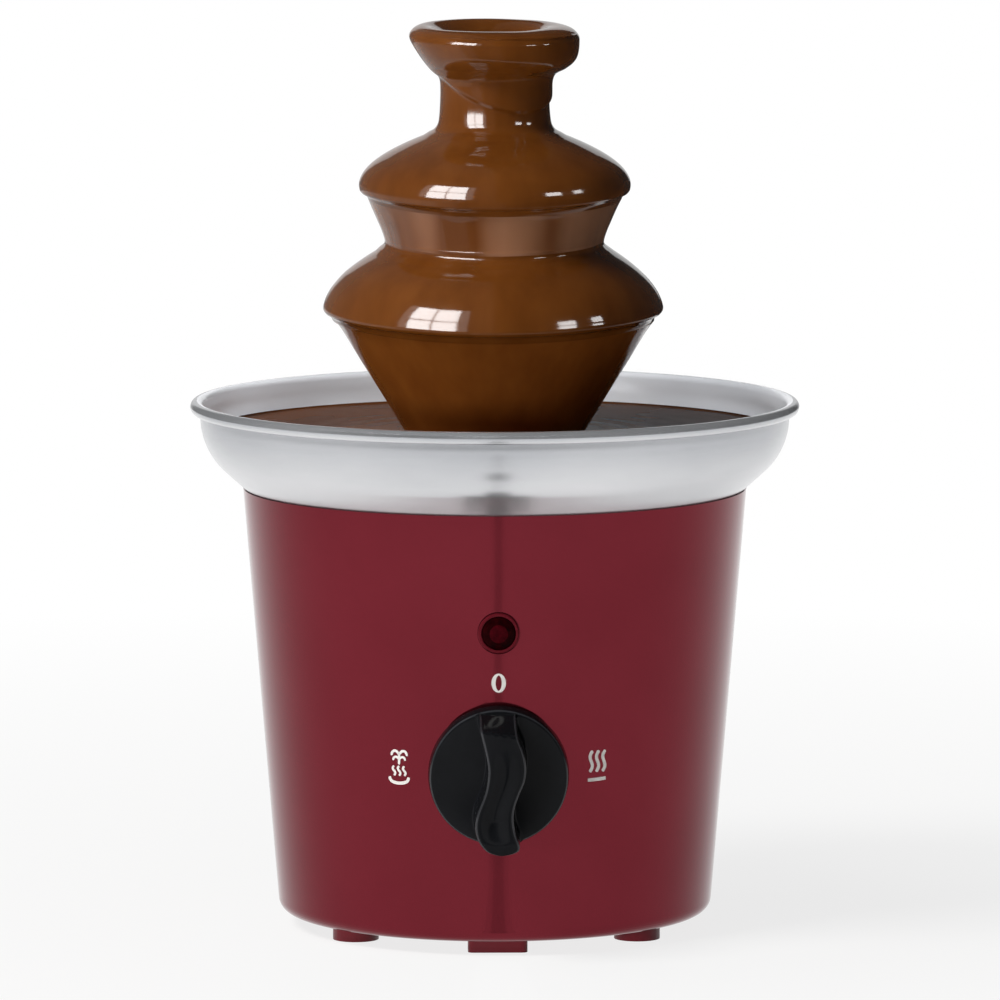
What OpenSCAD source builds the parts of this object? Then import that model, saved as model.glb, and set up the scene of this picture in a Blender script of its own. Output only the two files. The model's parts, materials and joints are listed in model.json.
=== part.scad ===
// Table-top chocolate fountain: tapered plastic base, drawn steel bowl, tiered tower with
// an auger, geared motor, heater, rotary switch and pilot lamp.
// Millimetres, +Z up, origin on the table under the middle of the base, control knob at -Y.

/* [Base] */
// Height of the feet below the housing
foot_h = 4; // [3:0.5:8]
// Height of the housing from its bottom edge to its top edge
housing_h = 123.5; // [116:0.5:137]
// Outer diameter of the housing at its top edge
housing_top_d = 145.6; // [142:0.2:152]
// Outer diameter of the housing at its bottom edge
housing_bottom_d = 125; // [120:0.5:132]
// Wall thickness of the housing
housing_wall = 2.2; // [1.8:0.1:3]
// Radius of the rounded bottom edge of the housing
housing_corner_r = 4; // [2:0.5:6]
// Width of the housing's turned-in bottom edge around the base plate
plate_inset = 5.2; // [4.5:0.1:6.5]
// Thickness of the base plate
plate_t = 2.5; // [2:0.1:4]
// Distance of the feet's middle from the rim of the base plate's opening
foot_inset = 7.3; // [6.8:0.1:9.5]
// Diameter of the round feet
round_foot_d = 13.2; // [11:0.2:13.4]
// Angle of the front round feet, measured from the front
round_foot_angle = 54; // [45:1:60]
// Width of the front and rear block feet
block_foot_w = 17; // [12:0.5:22]
// Depth of the front and rear block feet
block_foot_d = 9; // [7:0.5:11]

/* [Bowl] */
// Outer diameter over the rolled rim of the bowl
rim_d = 176; // [172:1:186]
// Diameter of the rolled bead along the rim
bead_d = 3.7; // [3:0.1:4.5]
// Thickness of the bowl's sheet steel
bowl_gauge = 0.8; // [0.6:0.1:1.2]
// Height of the bowl's upright wall, from the end of its slope to the middle of the bead
bowl_wall_h = 12; // [11:0.1:17]
// Depth of the bowl's underside below the top of the housing
bowl_drop = 22.5; // [20:0.5:23]
// Lean of the bowl's side from the vertical
bowl_lean = 48; // [46:1:50]
// Radius of the shoulder between the side and the upright wall
shoulder_r = 20; // [14:1:22]
// Radius of the corner between the side and the flat bottom
bowl_corner_r = 8; // [5:1:9]
// Depth of the chocolate's surface below the middle of the bead
pool_drop = 7.5; // [6:0.5:9]

/* [Tower] */
// Inner diameter of the tower tube
tube_bore_d = 24; // [22:0.5:25]
// Wall of the tube at its thin upper end
tube_wall = 1.5; // [1.2:0.1:2]
// Height of each shoulder step on the tube, taken on the radius
tube_step = 0.5; // [0.4:0.1:0.8]
// Height of the tube above the bowl's floor
tube_h = 145.2; // [142:0.2:150]
// Height of the lower tier's seat above the bowl's floor
lower_seat_h = 92.2; // [90:0.2:94]
// Height of the upper tier's seat above the bowl's floor
upper_seat_h = 121.2; // [119:0.2:123]
// Outer diameter of the tower's foot skirt
skirt_d = 41; // [39:0.5:44]
// Height of the tower's foot skirt
skirt_h = 17; // [15:0.5:20]
// Width of the ports in the skirt that let chocolate in
port_w = 15; // [10:0.5:18]
// Radius of the lower tier
lower_tier_r = 47.5; // [44:0.5:49]
// Radius of the upper tier
upper_tier_r = 38; // [35:0.5:40]
// Radius of the crown's lip
crown_r = 23.8; // [22:0.2:25]
// Wall of the tiers and of the crown
tier_wall = 1.5; // [1.2:0.1:2]
// Thickness of the chocolate that runs over the tiers
film_t = 1.2; // [1:0.1:1.6]

/* [Auger and drive] */
// Diameter of the auger's core
auger_core_d = 8.4; // [7:0.2:9.4]
// Running gap between the flight and the tube
auger_gap = 0.4; // [0.3:0.1:0.8]
// Pitch of the flight
auger_pitch = 24; // [20:1:30]
// Thickness of the flight along the axis
flight_t = 2.4; // [1.8:0.2:3]
// Width across the flats of the drive dog
dog_flats = 8; // [8:0.25:9.5]
// Diameter of the output shaft
shaft_d = 7; // [6:0.5:7]
// Height of the top of the motor bracket above the housing's bottom edge
bracket_h = 59.5; // [57:0.5:65]
// Thickness of the motor bracket
bracket_t = 1.5; // [1.2:0.1:2]
// Outer diameter of the geared motor
motor_d = 60; // [58:0.5:62]
// Wall of the motor can and gear case
motor_wall = 1.4; // [1.2:0.1:1.8]
// Height of the motor can
can_h = 20; // [18:0.5:22]
// Height of the gear case
gear_case_h = 14; // [13.5:0.1:15]
// Gear module
gear_module = 0.5; // [0.5:0.01:0.52]
// Teeth on each pinion
pinion_teeth = 14; // [14:2:16]
// Teeth on each wheel
wheel_teeth = 42; // [40:2:42]

/* [Controls] */
// Height of the knob's axis above the housing's bottom edge
knob_h = 49.5; // [46:0.5:54]
// Diameter of the knob's disc
knob_d = 40; // [37:0.5:43]
// Depth of the knob's skirt
knob_skirt = 5; // [4.5:0.1:6]
// Height of the grip above the disc
grip_h = 13; // [10:0.5:15]
// Width of the grip
grip_w = 10.2; // [8:0.2:12]
// Sideways swing of the S-shaped grip
grip_swing = 1.8; // [0:0.1:2.4]
// Height of the pilot lamp above the housing's bottom edge
lamp_h = 90; // [87:0.5:93]
// Diameter of the pilot lamp's lens
lamp_d = 10; // [8:0.2:11]
// Height of the cord grommet above the housing's bottom edge
grommet_h = 15; // [13:0.5:25]
// Bore of the cord grommet
cord_bore_d = 7; // [6:0.2:8]

/* [Hidden] */
$fn = 96;

// Clearances
fit_gap = 0.3;
run_gap = 0.05;
film_gap = 0.15;
seat_gap = 0.15;
cut = 1;

// Base levels and radii
base_z = foot_h;
top_z = base_z + housing_h;
top_r = housing_top_d / 2;
bottom_r = housing_bottom_d / 2;
taper = atan((top_r - bottom_r) / housing_h);
plate_opening_r = bottom_r - plate_inset;
plate_r = plate_opening_r - fit_gap;
foot_circle_r = plate_opening_r - foot_inset;
plate_top = base_z + plate_t;
foot_angles = [round_foot_angle, 180 - round_foot_angle, 180 + round_foot_angle, -round_foot_angle];
function wall_r(z) = bottom_r + (z - base_z) * tan(taper);
function inner_r(z) = wall_r(z) - housing_wall / cos(taper);

// Base screws and the bosses that take them
screw_r = 1.5;
screw_head_r = 3.2;
screw_head_h = 2.2;
screw_seat_z = base_z - 1;
screw_l = 14;
boss_r = 4.5;
boss_h = 22;
rib_t = 2;

// Terminal block for the mains lead
terminal_inset = 15;
terminal_l = 26;
terminal_w = 16;
terminal_y = plate_r - terminal_inset - terminal_w;
terminal_h = 13;
terminal_hole_r = 2.2;
terminal_slot_w = 1.6;
terminal_slot_h = 4;

// Bowl levels and radii
rim_r = rim_d / 2;
bead_r = bead_d / 2;
bowl_wall_r = rim_r - bead_d + bowl_gauge;
bowl_z = top_z - bowl_drop;
floor_z = bowl_z + bowl_gauge;
seat_r = top_r - 0.5;
shaft_hole_r = 8;
bead_end_angle = -110;
bottom_corner = [seat_r - bowl_drop * tan(bowl_lean), bowl_z];
wall_corner = [bowl_wall_r, top_z + (bowl_wall_r - seat_r) / tan(bowl_lean)];
bead_z = wall_corner[1] + bowl_wall_h;
pool_z = bead_z - pool_drop;
bowl_corner_tangent = bowl_corner_r * tan((90 - bowl_lean) / 2);
shoulder_tangent = shoulder_r * tan(bowl_lean / 2);

// Studs, nuts and heater under the bowl
stud_circle_r = 42;
stud_r = 2;
stud_angles = [90, 210, 330];
nut_flats = 7;
nut_h = 3.2;
heat_plate_t = 3.1;
heat_plate_r = stud_circle_r + 4;
heat_plate_bore_r = 14;
heat_plate_z = bowl_z - seat_gap - heat_plate_t;
element_ring_r = 32;
element_r = 3.2;
element_sweep = 300;
element_pin_r = 1.2;
element_pin_l = 9;
thermostat_r = 7;
thermostat_h = 8;
thermostat_x = 20.5;
fuse_r = 2;
fuse_l = 13;

// Motor and gear levels, counted down from the bracket
bracket_top = base_z + bracket_h;
bracket_z = bracket_top - bracket_t;
lid_t = 2;
gear_plate_t = 1.5;
lid_z = bracket_z - lid_t;
gear_case_z = lid_z - gear_case_h;
gear_plate_z = gear_case_z - gear_plate_t;
can_z = gear_plate_z - can_h;
can_floor = 1.2;
motor_r = motor_d / 2;
ear_x = motor_r + 5;
ear_r = 5;
bracket_r = motor_r + 7;
arm_w = 16;
arm_r = inner_r(bracket_z) - 1.8;
lug_r = arm_r - 7;
lug_w = 14;
lug_h = 12;
bush_r = 6;
bush_h = 5;
bracket_hole_r = bush_r + 3;

// Gear train
pressure_angle = 25;
addendum = 0.8 * gear_module;
dedendum = 1.2 * gear_module;
tooth_thinning = 0.04;
gear_distance = gear_module * (pinion_teeth + wheel_teeth) / 2;
gear_w = 4;
first_mesh_z = gear_case_z + 1;
second_mesh_z = first_mesh_z + gear_w + 1.2;
rotor_shaft_r = 1.5;
idler_pin_r = 1;
magnet_r = 9.5;
magnet_gap = 2;
coil_r = motor_r - motor_wall - fit_gap;
coil_bore_r = magnet_r + 1;

// Seal, dog and auger levels
seal_lip_r = 10.5;
seal_lip_t = 2;
dog_flange_r = 7;
dog_flange_t = 1.2;
dog_z = floor_z + seal_lip_t + fit_gap;
dog_h = 10;
shaft_r = shaft_d / 2;
shaft_flat = 0.8;
shaft_top = dog_z + dog_flange_t + dog_h - 2;
auger_z = dog_z + dog_flange_t;
auger_r = tube_bore_d / 2 - auger_gap;
auger_hub_r = 7;
auger_hub_h = dog_h + 3;
socket_gap = 0.2;
flight_slices_per_turn = 20;
flight_root_angle = 8;
auger_tip_h = 3;

// Tower levels and radii
bore_r = tube_bore_d / 2;
upper_r = bore_r + tube_wall;
middle_r = upper_r + tube_step;
lower_r = middle_r + tube_step;
tube_top = floor_z + tube_h;
lower_seat = floor_z + lower_seat_h;
upper_seat = floor_z + upper_seat_h;
skirt_r = skirt_d / 2;
skirt_wall = 1.5;
skirt_top = floor_z + skirt_h;
port_h = 11;
port_count = 4;
pool_hole_r = skirt_r + 0.8;
auger_top = tube_top + 5;

// Tier outlines: each is a curve from the collar to the lip, with one control point
collar_wall = 2;
lower_collar_h = 8;
upper_collar_h = 7;
lower_drop = 17.6;
upper_drop = 12;
lower_start = [lower_r + collar_wall, lower_seat + 6];
lower_lip = [lower_tier_r, lower_seat - lower_drop];
lower_bend = [lower_tier_r - 3.1, lower_seat - 6.6];
upper_start = [middle_r + collar_wall, upper_seat + 2.8];
upper_lip = [upper_tier_r, upper_seat - upper_drop];
upper_bend = [upper_tier_r, upper_seat - 5.2];
curve_steps = 10;
lower_curtain_foot = pool_hole_r + 4.4;
upper_curtain_foot = 31.3;
upper_curtain_drop = 12.8;
curtain_inset = 2.4;
lip_drop = 3.6;

// Crown outline
crown_collar_h = 11;
crown_collar_r = upper_r + 1.3;
crown_flare_z = tube_top - 5;
crown_lip_z = tube_top + 7.6;
crown_film_t = 1.3;

// Control axis frames: each is a height on the wall, with the axis square to the wall
knob_z = base_z + knob_h;
lamp_z = base_z + lamp_h;
grommet_z = base_z + grommet_h;
knob_r = knob_d / 2;
knob_lift = 0.6;
knob_face = knob_lift + knob_skirt;
knob_edge = 1;
knob_cavity_r = 12;
knob_cavity_h = 3.4;
grip_l = knob_d - 0.4;
grip_wave = 33;
grip_steps = 24;
switch_bush_r = 4.5;
switch_r = 14;
switch_depth = 15;
switch_floor = 3;
switch_shaft_r = 3;
switch_shaft_flat = 0.8;
switch_pad_r = 16;
pad_depth = 5;
spot_depth = 0.7;
spot_r = 8.2;
switch_nut_flats = 12;
switch_nut_h = 2;
lamp_r = lamp_d / 2;
lamp_lip = 0.8;
lamp_spot_r = lamp_r + lamp_lip + 0.3;
lamp_body_r = lamp_r - 0.7;
lamp_body_full_l = 16;
lamp_gap = 1;
lens_depth = pad_depth + 2;
// the body is as long as the room in front of the bowl's slope allows
lamp_top_z = lamp_z + (lens_depth + lamp_body_full_l) * sin(taper) + lamp_body_r;
lamp_room = wall_r(lamp_z) - lens_depth - lamp_gap
    - bottom_corner[0] - max(0, lamp_top_z - bowl_z) * tan(bowl_lean);
lamp_body_l = lamp_top_z + lamp_gap < bowl_z ? lamp_body_full_l : min(lamp_body_full_l, lamp_room);
grommet_neck_r = cord_bore_d / 2 + 1.8;
grommet_lip_r = grommet_neck_r + 2;
grommet_lip_t = 2;

// Colours
red = [0.45, 0.03, 0.06];
steel = [0.78, 0.78, 0.8];
chocolate = [0.3, 0.13, 0.04];
black = [0.04, 0.04, 0.05];
nylon = [0.9, 0.88, 0.82];
zinc = [0.65, 0.66, 0.68];

// Points along an arc about a centre, from one angle to another
function arc(centre, r, from, to, n) =
    [for (i = [0:n]) let (a = from + (to - from) * i / n) centre + r * [cos(a), sin(a)]];

// Points along a curve from a start to an end, drawn towards one control point
function bend(start, control, end, n) =
    [for (i = [0:n]) let (t = i / n)
        (1 - t) * (1 - t) * start + 2 * t * (1 - t) * control + t * t * end];

// Outline of a rectangle with rounded corners about the origin
function rounded(x, y, r) = concat(
    arc([x / 2 - r, y / 2 - r], r, 0, 90, 4),
    arc([r - x / 2, y / 2 - r], r, 90, 180, 4),
    arc([r - x / 2, r - y / 2], r, 180, 270, 4),
    arc([x / 2 - r, r - y / 2], r, 270, 360, 4));

// A list of points in the opposite order
function reversed(points) = [for (i = [len(points) - 1:-1:0]) points[i]];

// A curve moved out along its own normal
function moved_out(points, d) =
    [for (i = [0:len(points) - 1])
        let (a = points[max(i - 1, 0)], b = points[min(i + 1, len(points) - 1)])
        let (along = (b - a) / norm(b - a))
        points[i] + d * [-along[1], along[0]]];

// Turned solid from a closed outline of radius and height
module turned(outline) {
    rotate_extrude() polygon(outline);
}

// Places children on the housing wall at a height, z pointing out along the wall's normal
// and y up the wall; side 0 is the front, 180 the rear
module on_wall(z, side = 0) {
    rotate([0, 0, side])
        translate([0, -wall_r(z), z])
            rotate([90 + taper, 0, 0])
                children();
}

// Copies children to each of the given angles about Z at a radius, 0 being the +X side
module around(angles, r) {
    for (a = angles) rotate([0, 0, a]) translate([r, 0, 0]) children();
}

// Copies children to the four round feet, whose angles count from the front
module at_round_feet() {
    around([for (a = foot_angles) a - 90], foot_circle_r) children();
}

// Hexagonal prism by its width across the flats
module hexagon(flats, h) {
    cylinder(r = flats / 2 / cos(30), h = h, $fn = 6);
}

// Thickening behind the wall that gives a control a flat face to clamp on
module wall_pad(r) {
    translate([0, 0, -pad_depth]) cylinder(r = r, h = pad_depth);
}

// Tapered red shell: turned-in bottom edge, conical seat for the bowl, screw bosses,
// bracket lugs and flat pads for the controls
module base_housing() {
    corner_x = bottom_r + housing_corner_r * ((1 - sin(taper)) * tan(taper) - cos(taper));
    seat_outer = seat_r + seat_gap;
    // height at which the conical seat runs into the inner wall
    seat_z = top_z - (seat_outer - inner_r(top_z)) / (tan(bowl_lean) - tan(taper));
    shell = concat(
        [[plate_opening_r, base_z]],
        arc([corner_x, base_z + housing_corner_r], housing_corner_r, -90, -taper, 8),
        [[top_r, top_z], [seat_outer, top_z], [inner_r(seat_z), seat_z],
         [inner_r(plate_top), plate_top], [plate_opening_r, plate_top]]);
    color(red) difference() {
        union() {
            turned(shell);
            at_round_feet() translate([0, 0, plate_top]) cylinder(r = boss_r, h = boss_h);
            intersection() {
                union() {
                    for (a = stud_angles) rotate([0, 0, a])
                        translate([lug_r, -lug_w / 2, bracket_top]) cube([top_r, lug_w, lug_h]);
                    on_wall(knob_z) wall_pad(switch_pad_r);
                    on_wall(lamp_z) wall_pad(lamp_r + 2.5);
                    on_wall(grommet_z, 180) wall_pad(grommet_lip_r + 1.5);
                    at_round_feet() translate([boss_r - 1, -rib_t / 2, plate_top + fit_gap])
                        cube([bottom_r - foot_circle_r, rib_t, boss_h - 4]);
                }
                turned([[0, base_z], [wall_r(base_z) - housing_wall / 2, base_z],
                        [wall_r(top_z) - housing_wall / 2, top_z], [0, top_z]]);
            }
        }
        at_round_feet() translate([0, 0, plate_top - cut]) cylinder(r = screw_r + run_gap, h = boss_h - 2);
        on_wall(knob_z) {
            translate([0, 0, -pad_depth - cut]) cylinder(r = switch_bush_r + run_gap, h = pad_depth + 4);
            translate([0, 0, -spot_depth]) cylinder(r = spot_r, h = 4);
        }
        on_wall(lamp_z) {
            translate([0, 0, -pad_depth - cut]) cylinder(r = lamp_r + run_gap, h = pad_depth + 4);
            translate([0, 0, -spot_depth]) cylinder(r = lamp_spot_r, h = 4);
        }
        on_wall(grommet_z, 180) {
            translate([0, 0, -pad_depth - cut]) cylinder(r = grommet_neck_r + run_gap, h = pad_depth + 4);
            translate([0, 0, -spot_depth]) cylinder(r = grommet_lip_r + fit_gap, h = 4);
        }
    }
}

// Red base plate with four hollow round feet, two block feet and air slots
module base_plate() {
    slot_l = 34;
    slot_w = 3;
    slot_pitch = 8;
    block_r = 1.6;
    color(red) difference() {
        union() {
            translate([0, 0, base_z]) cylinder(r = plate_r, h = plate_t);
            at_round_feet() cylinder(d = round_foot_d, h = base_z + plate_t / 2);
            around([-90, 90], foot_circle_r)
                linear_extrude(height = base_z + plate_t / 2)
                    polygon(rounded(block_foot_d, block_foot_w, block_r));
        }
        at_round_feet() {
            translate([0, 0, -cut]) cylinder(r = screw_r + fit_gap, h = plate_top + 2 * cut);
            translate([0, 0, -cut]) cylinder(r = screw_head_r + 0.5, h = screw_seat_z + cut);
        }
        for (i = [-2:2]) translate([-slot_l / 2, i * slot_pitch - slot_w / 2, base_z - cut]) {
            cube([slot_l, slot_w, plate_t + 2 * cut]);
            for (x = [0, slot_l]) translate([x, slot_w / 2, 0]) cylinder(d = slot_w, h = plate_t + 2 * cut);
        }
    }
}

// Self-tapping screws, one up each round foot
module base_screws() {
    color(zinc) at_round_feet() translate([0, 0, screw_seat_z]) difference() {
        union() {
            translate([0, 0, -screw_head_h]) cylinder(r = screw_head_r, h = screw_head_h);
            cylinder(r = screw_r, h = screw_l);
        }
        translate([-screw_head_r * 0.6, -0.4, -screw_head_h - cut]) cube([screw_head_r * 1.2, 0.8, cut + 1]);
        translate([-0.4, -screw_head_r * 0.6, -screw_head_h - cut]) cube([0.8, screw_head_r * 1.2, cut + 1]);
    }
}

// Rubber bush that takes the mains lead through the rear wall
module cord_grommet() {
    bore_r = cord_bore_d / 2;
    color(black) on_wall(grommet_z, 180) turned([
        [bore_r, -pad_depth - grommet_lip_t], [grommet_lip_r, -pad_depth - grommet_lip_t],
        [grommet_lip_r, -pad_depth], [grommet_neck_r, -pad_depth],
        [grommet_neck_r, -spot_depth], [grommet_lip_r, -spot_depth],
        [grommet_lip_r, grommet_lip_t - 0.6], [grommet_lip_r - 0.6, grommet_lip_t],
        [bore_r, grommet_lip_t]]);
}

// Two-pole terminal block standing on the base plate
module terminal_block() {
    color(nylon) translate([0, terminal_y, plate_top]) difference() {
        translate([-terminal_l / 2, 0, 0]) cube([terminal_l, terminal_w, terminal_h]);
        for (x = [-terminal_l / 4, terminal_l / 4]) translate([x, 0, terminal_h / 2]) {
            translate([0, -cut, 0]) rotate([-90, 0, 0]) cylinder(r = terminal_hole_r, h = terminal_w + 2 * cut);
            translate([0, terminal_w / 2, 0]) cylinder(r = terminal_hole_r, h = terminal_h);
        }
        translate([-terminal_slot_w / 2, -cut, terminal_h - terminal_slot_h])
            cube([terminal_slot_w, terminal_w + 2 * cut, terminal_slot_h + cut]);
    }
}

// Outline of the bowl at a depth below its outer face, from the hub hole to the rim
function bowl_side(depth, hub) = concat(
    [[hub, bowl_z + depth]],
    arc([bottom_corner[0] - bowl_corner_tangent, bowl_z + bowl_corner_r],
        bowl_corner_r - depth, -90, -bowl_lean, 8),
    arc([bowl_wall_r - shoulder_r, wall_corner[1] + shoulder_tangent],
        shoulder_r - depth, -bowl_lean, 0, 8));

// Drawn steel bowl whose upright wall ends in an outward curl
module bowl() {
    curl = [bowl_wall_r - bowl_gauge + bead_r, bead_z];
    color(steel) turned(concat(
        bowl_side(bowl_gauge, shaft_hole_r),
        arc(curl, bead_r, 180, bead_end_angle, 20),
        arc(curl, bead_r - bowl_gauge, bead_end_angle, 180, 20),
        reversed(bowl_side(0, shaft_hole_r))));
}

// Studs welded under the bowl, which carry the heater and pull the bowl down on its seat
module bowl_studs() {
    stud_z = bracket_z - nut_h - 2;
    color(zinc) around(stud_angles, stud_circle_r)
        translate([0, 0, stud_z]) cylinder(r = stud_r, h = bowl_z - stud_z);
}

// Hexagon nuts on the studs: one under the heat plate and one under the bracket on each
module stud_nuts() {
    color(zinc) around(stud_angles, stud_circle_r)
        for (z = [heat_plate_z - nut_h, bracket_z - nut_h])
            translate([0, 0, z]) difference() {
                hexagon(nut_flats, nut_h);
                translate([0, 0, -cut]) cylinder(r = stud_r + run_gap, h = nut_h + 2 * cut);
            }
}

// Aluminium plate that spreads the heat over the bowl's underside
module heat_plate() {
    color("lightgray") translate([0, 0, heat_plate_z]) difference() {
        cylinder(r = heat_plate_r, h = heat_plate_t);
        translate([0, 0, -cut]) cylinder(r = heat_plate_bore_r, h = heat_plate_t + 2 * cut);
        around(stud_angles, stud_circle_r)
            translate([0, 0, -cut]) cylinder(r = stud_r + fit_gap, h = heat_plate_t + 2 * cut);
    }
}

// Sheathed heating element: an open ring with two terminal pins
module heating_element() {
    color("dimgray") translate([0, 0, heat_plate_z - element_r]) rotate([0, 0, 90 + (360 - element_sweep) / 2]) {
        rotate_extrude(angle = element_sweep) translate([element_ring_r, 0]) circle(r = element_r);
        for (a = [3, element_sweep - 3]) rotate([0, 0, a])
            translate([element_ring_r, 0, -element_pin_l]) cylinder(r = element_pin_r, h = element_pin_l);
    }
}

// Bimetal disc thermostat with two blade terminals
module thermostat() {
    blade = [0.8, 4, 7];
    color("tan") translate([thermostat_x, 0, heat_plate_z - thermostat_h]) {
        cylinder(r = thermostat_r, h = thermostat_h);
        for (s = [-1, 1]) translate([s * thermostat_r / 2 - blade[0] / 2, -blade[1] / 2, -blade[2]]) cube(blade);
    }
}

// Thermal fuse lying against the heat plate
module thermal_fuse() {
    color("ivory") translate([-thermostat_x, -fuse_l / 2, heat_plate_z - fuse_r])
        rotate([-90, 0, 0]) cylinder(r = fuse_r, h = fuse_l);
}

// Silicone lip seal, clipped in the hole of the bowl's floor
module shaft_seal() {
    color("white") turned([
        [shaft_r + run_gap, bowl_z - seal_lip_t], [seal_lip_r, bowl_z - seal_lip_t],
        [seal_lip_r, bowl_z], [shaft_hole_r - run_gap, bowl_z],
        [shaft_hole_r - run_gap, floor_z], [seal_lip_r, floor_z],
        [seal_lip_r - 1.4, floor_z + seal_lip_t], [shaft_r + run_gap, floor_z + seal_lip_t]]);
}

// Pressed steel spider under the housing's lugs, which carries the geared motor
module motor_bracket() {
    color(zinc) translate([0, 0, bracket_z]) difference() {
        union() {
            cylinder(r = bracket_r, h = bracket_t);
            for (a = stud_angles) rotate([0, 0, a]) translate([0, -arm_w / 2, 0]) cube([arm_r, arm_w, bracket_t]);
            around([0, 180], ear_x) cylinder(r = ear_r, h = bracket_t);
        }
        translate([0, 0, -cut]) {
            cylinder(r = bracket_hole_r, h = bracket_t + 2 * cut);
            around(stud_angles, stud_circle_r) cylinder(r = stud_r + fit_gap, h = bracket_t + 2 * cut);
            around([0, 180], ear_x) cylinder(r = screw_r + run_gap, h = bracket_t + 2 * cut);
        }
    }
}

// Lid of the gearbox with two ears and the bush that guides the output shaft
module gearbox_lid() {
    color(nylon) difference() {
        union() {
            translate([0, 0, lid_z]) {
                cylinder(r = motor_r, h = lid_t);
                translate([-ear_x, -ear_r, 0]) cube([2 * ear_x, 2 * ear_r, lid_t]);
                around([0, 180], ear_x) cylinder(r = ear_r, h = lid_t);
            }
            translate([0, 0, lid_z]) cylinder(r = bush_r, h = lid_t + bush_h);
        }
        translate([0, 0, lid_z - cut]) {
            cylinder(r = shaft_r + run_gap, h = lid_t + bush_h + 2 * cut);
            around([0, 180], ear_x) cylinder(r = screw_r + fit_gap, h = lid_t + 2 * cut);
            translate([gear_distance, 0, 0]) cylinder(r = idler_pin_r + run_gap, h = lid_t + 2 * cut);
        }
    }
}

// Open ring between two levels, the wall of the gear case
module gear_case() {
    color(nylon) translate([0, 0, gear_case_z]) difference() {
        cylinder(r = motor_r, h = gear_case_h);
        translate([0, 0, -cut]) cylinder(r = motor_r - motor_wall, h = gear_case_h + 2 * cut);
    }
}

// Steel plate between motor and gears, which holds the idler pin and the rotor's upper bearing
module gear_plate() {
    color(zinc) translate([0, 0, gear_plate_z]) difference() {
        cylinder(r = motor_r, h = gear_plate_t);
        translate([0, 0, -cut]) {
            cylinder(r = rotor_shaft_r + run_gap, h = gear_plate_t + 2 * cut);
            translate([gear_distance, 0, 0]) cylinder(r = idler_pin_r + run_gap, h = gear_plate_t + 2 * cut);
        }
    }
}

// Drawn can of the motor with the rotor's lower bearing in its floor
module motor_can() {
    bearing_r = 4;
    bearing_h = 2;
    color(zinc) translate([0, 0, can_z]) difference() {
        union() {
            difference() {
                cylinder(r = motor_r, h = can_h);
                translate([0, 0, can_floor]) cylinder(r = motor_r - motor_wall, h = can_h);
            }
            cylinder(r = bearing_r, h = can_floor + bearing_h);
        }
        translate([0, 0, can_floor / 2]) cylinder(r = rotor_shaft_r + run_gap, h = can_h);
    }
}

// Ring winding of the motor, seated on the can's floor
module stator_coil() {
    color("chocolate") translate([0, 0, can_z + can_floor]) difference() {
        cylinder(r = coil_r, h = can_h - can_floor - fit_gap);
        translate([0, 0, -cut]) cylinder(r = coil_bore_r, h = can_h + 2 * cut);
    }
}

// Two screws that hang the motor under the bracket
module motor_screws() {
    color(zinc) around([0, 180], ear_x) {
        translate([0, 0, lid_z - screw_head_h]) cylinder(r = screw_head_r, h = screw_head_h);
        translate([0, 0, lid_z]) cylinder(r = screw_r, h = lid_t + bracket_t + 2);
    }
}

// Permanent-magnet rotor on its shaft
module rotor_magnet() {
    magnet_z = can_z + can_floor + 2 + magnet_gap;
    color("dimgray") translate([0, 0, magnet_z]) difference() {
        cylinder(r = magnet_r, h = gear_plate_z - magnet_gap - magnet_z);
        translate([0, 0, -cut]) cylinder(r = rotor_shaft_r + run_gap, h = can_h);
    }
}

// Rotor shaft from the bearing in the can's floor to the top of the pinion
module rotor_shaft() {
    color(zinc) translate([0, 0, can_z + can_floor / 2 + run_gap])
        cylinder(r = rotor_shaft_r, h = first_mesh_z + gear_w - can_z - can_floor / 2 - run_gap);
}

// Outline of a spur gear with straight-sided roots and involute flanks, a tooth at angle 0
function tooth_angle(r, teeth) =
    let (pitch_r = gear_module * teeth / 2, base_r = pitch_r * cos(pressure_angle))
    let (a = acos(min(1, base_r / max(r, base_r))))
    90 / teeth - tooth_thinning / pitch_r * 180 / PI
        + (tan(pressure_angle) * 180 / PI - pressure_angle) - (tan(a) * 180 / PI - a);
function gear_outline(teeth) =
    let (pitch_r = gear_module * teeth / 2, base_r = pitch_r * cos(pressure_angle))
    let (root_r = pitch_r - dedendum, start_r = max(base_r, root_r + 0.1))
    let (radii = [root_r, start_r, pitch_r, pitch_r + addendum])
    [for (i = [0:teeth - 1], k = [0:7])
        let (r = radii[k < 4 ? k : 7 - k], half = tooth_angle(max(r, start_r), teeth))
        let (a = i * 360 / teeth + (k < 4 ? -half : half))
        r * [cos(a), sin(a)]];
module spur_gear(teeth, w) {
    linear_extrude(height = w) polygon(gear_outline(teeth));
}

// Pinion on the rotor shaft
module rotor_pinion() {
    color(nylon) translate([0, 0, first_mesh_z]) difference() {
        spur_gear(pinion_teeth, gear_w);
        translate([0, 0, -cut]) cylinder(r = rotor_shaft_r + run_gap, h = gear_w + 2 * cut);
    }
}

// Steel pin that the idler runs on, held in the gear plate and the lid
module idler_pin() {
    color(zinc) translate([gear_distance, 0, gear_plate_z])
        cylinder(r = idler_pin_r, h = lid_z + lid_t - gear_plate_z);
}

// Idler: a wheel driven by the rotor pinion, with a pinion on top that drives the output gear
module idler_gear() {
    pinion_w = second_mesh_z + gear_w - first_mesh_z - gear_w + 1;
    color(nylon) translate([gear_distance, 0, first_mesh_z]) difference() {
        union() {
            rotate([0, 0, 180 / wheel_teeth]) spur_gear(wheel_teeth, gear_w);
            translate([0, 0, gear_w]) spur_gear(pinion_teeth, pinion_w);
        }
        translate([0, 0, -cut]) cylinder(r = idler_pin_r + run_gap, h = gear_w + pinion_w + 2 * cut);
    }
}

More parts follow.
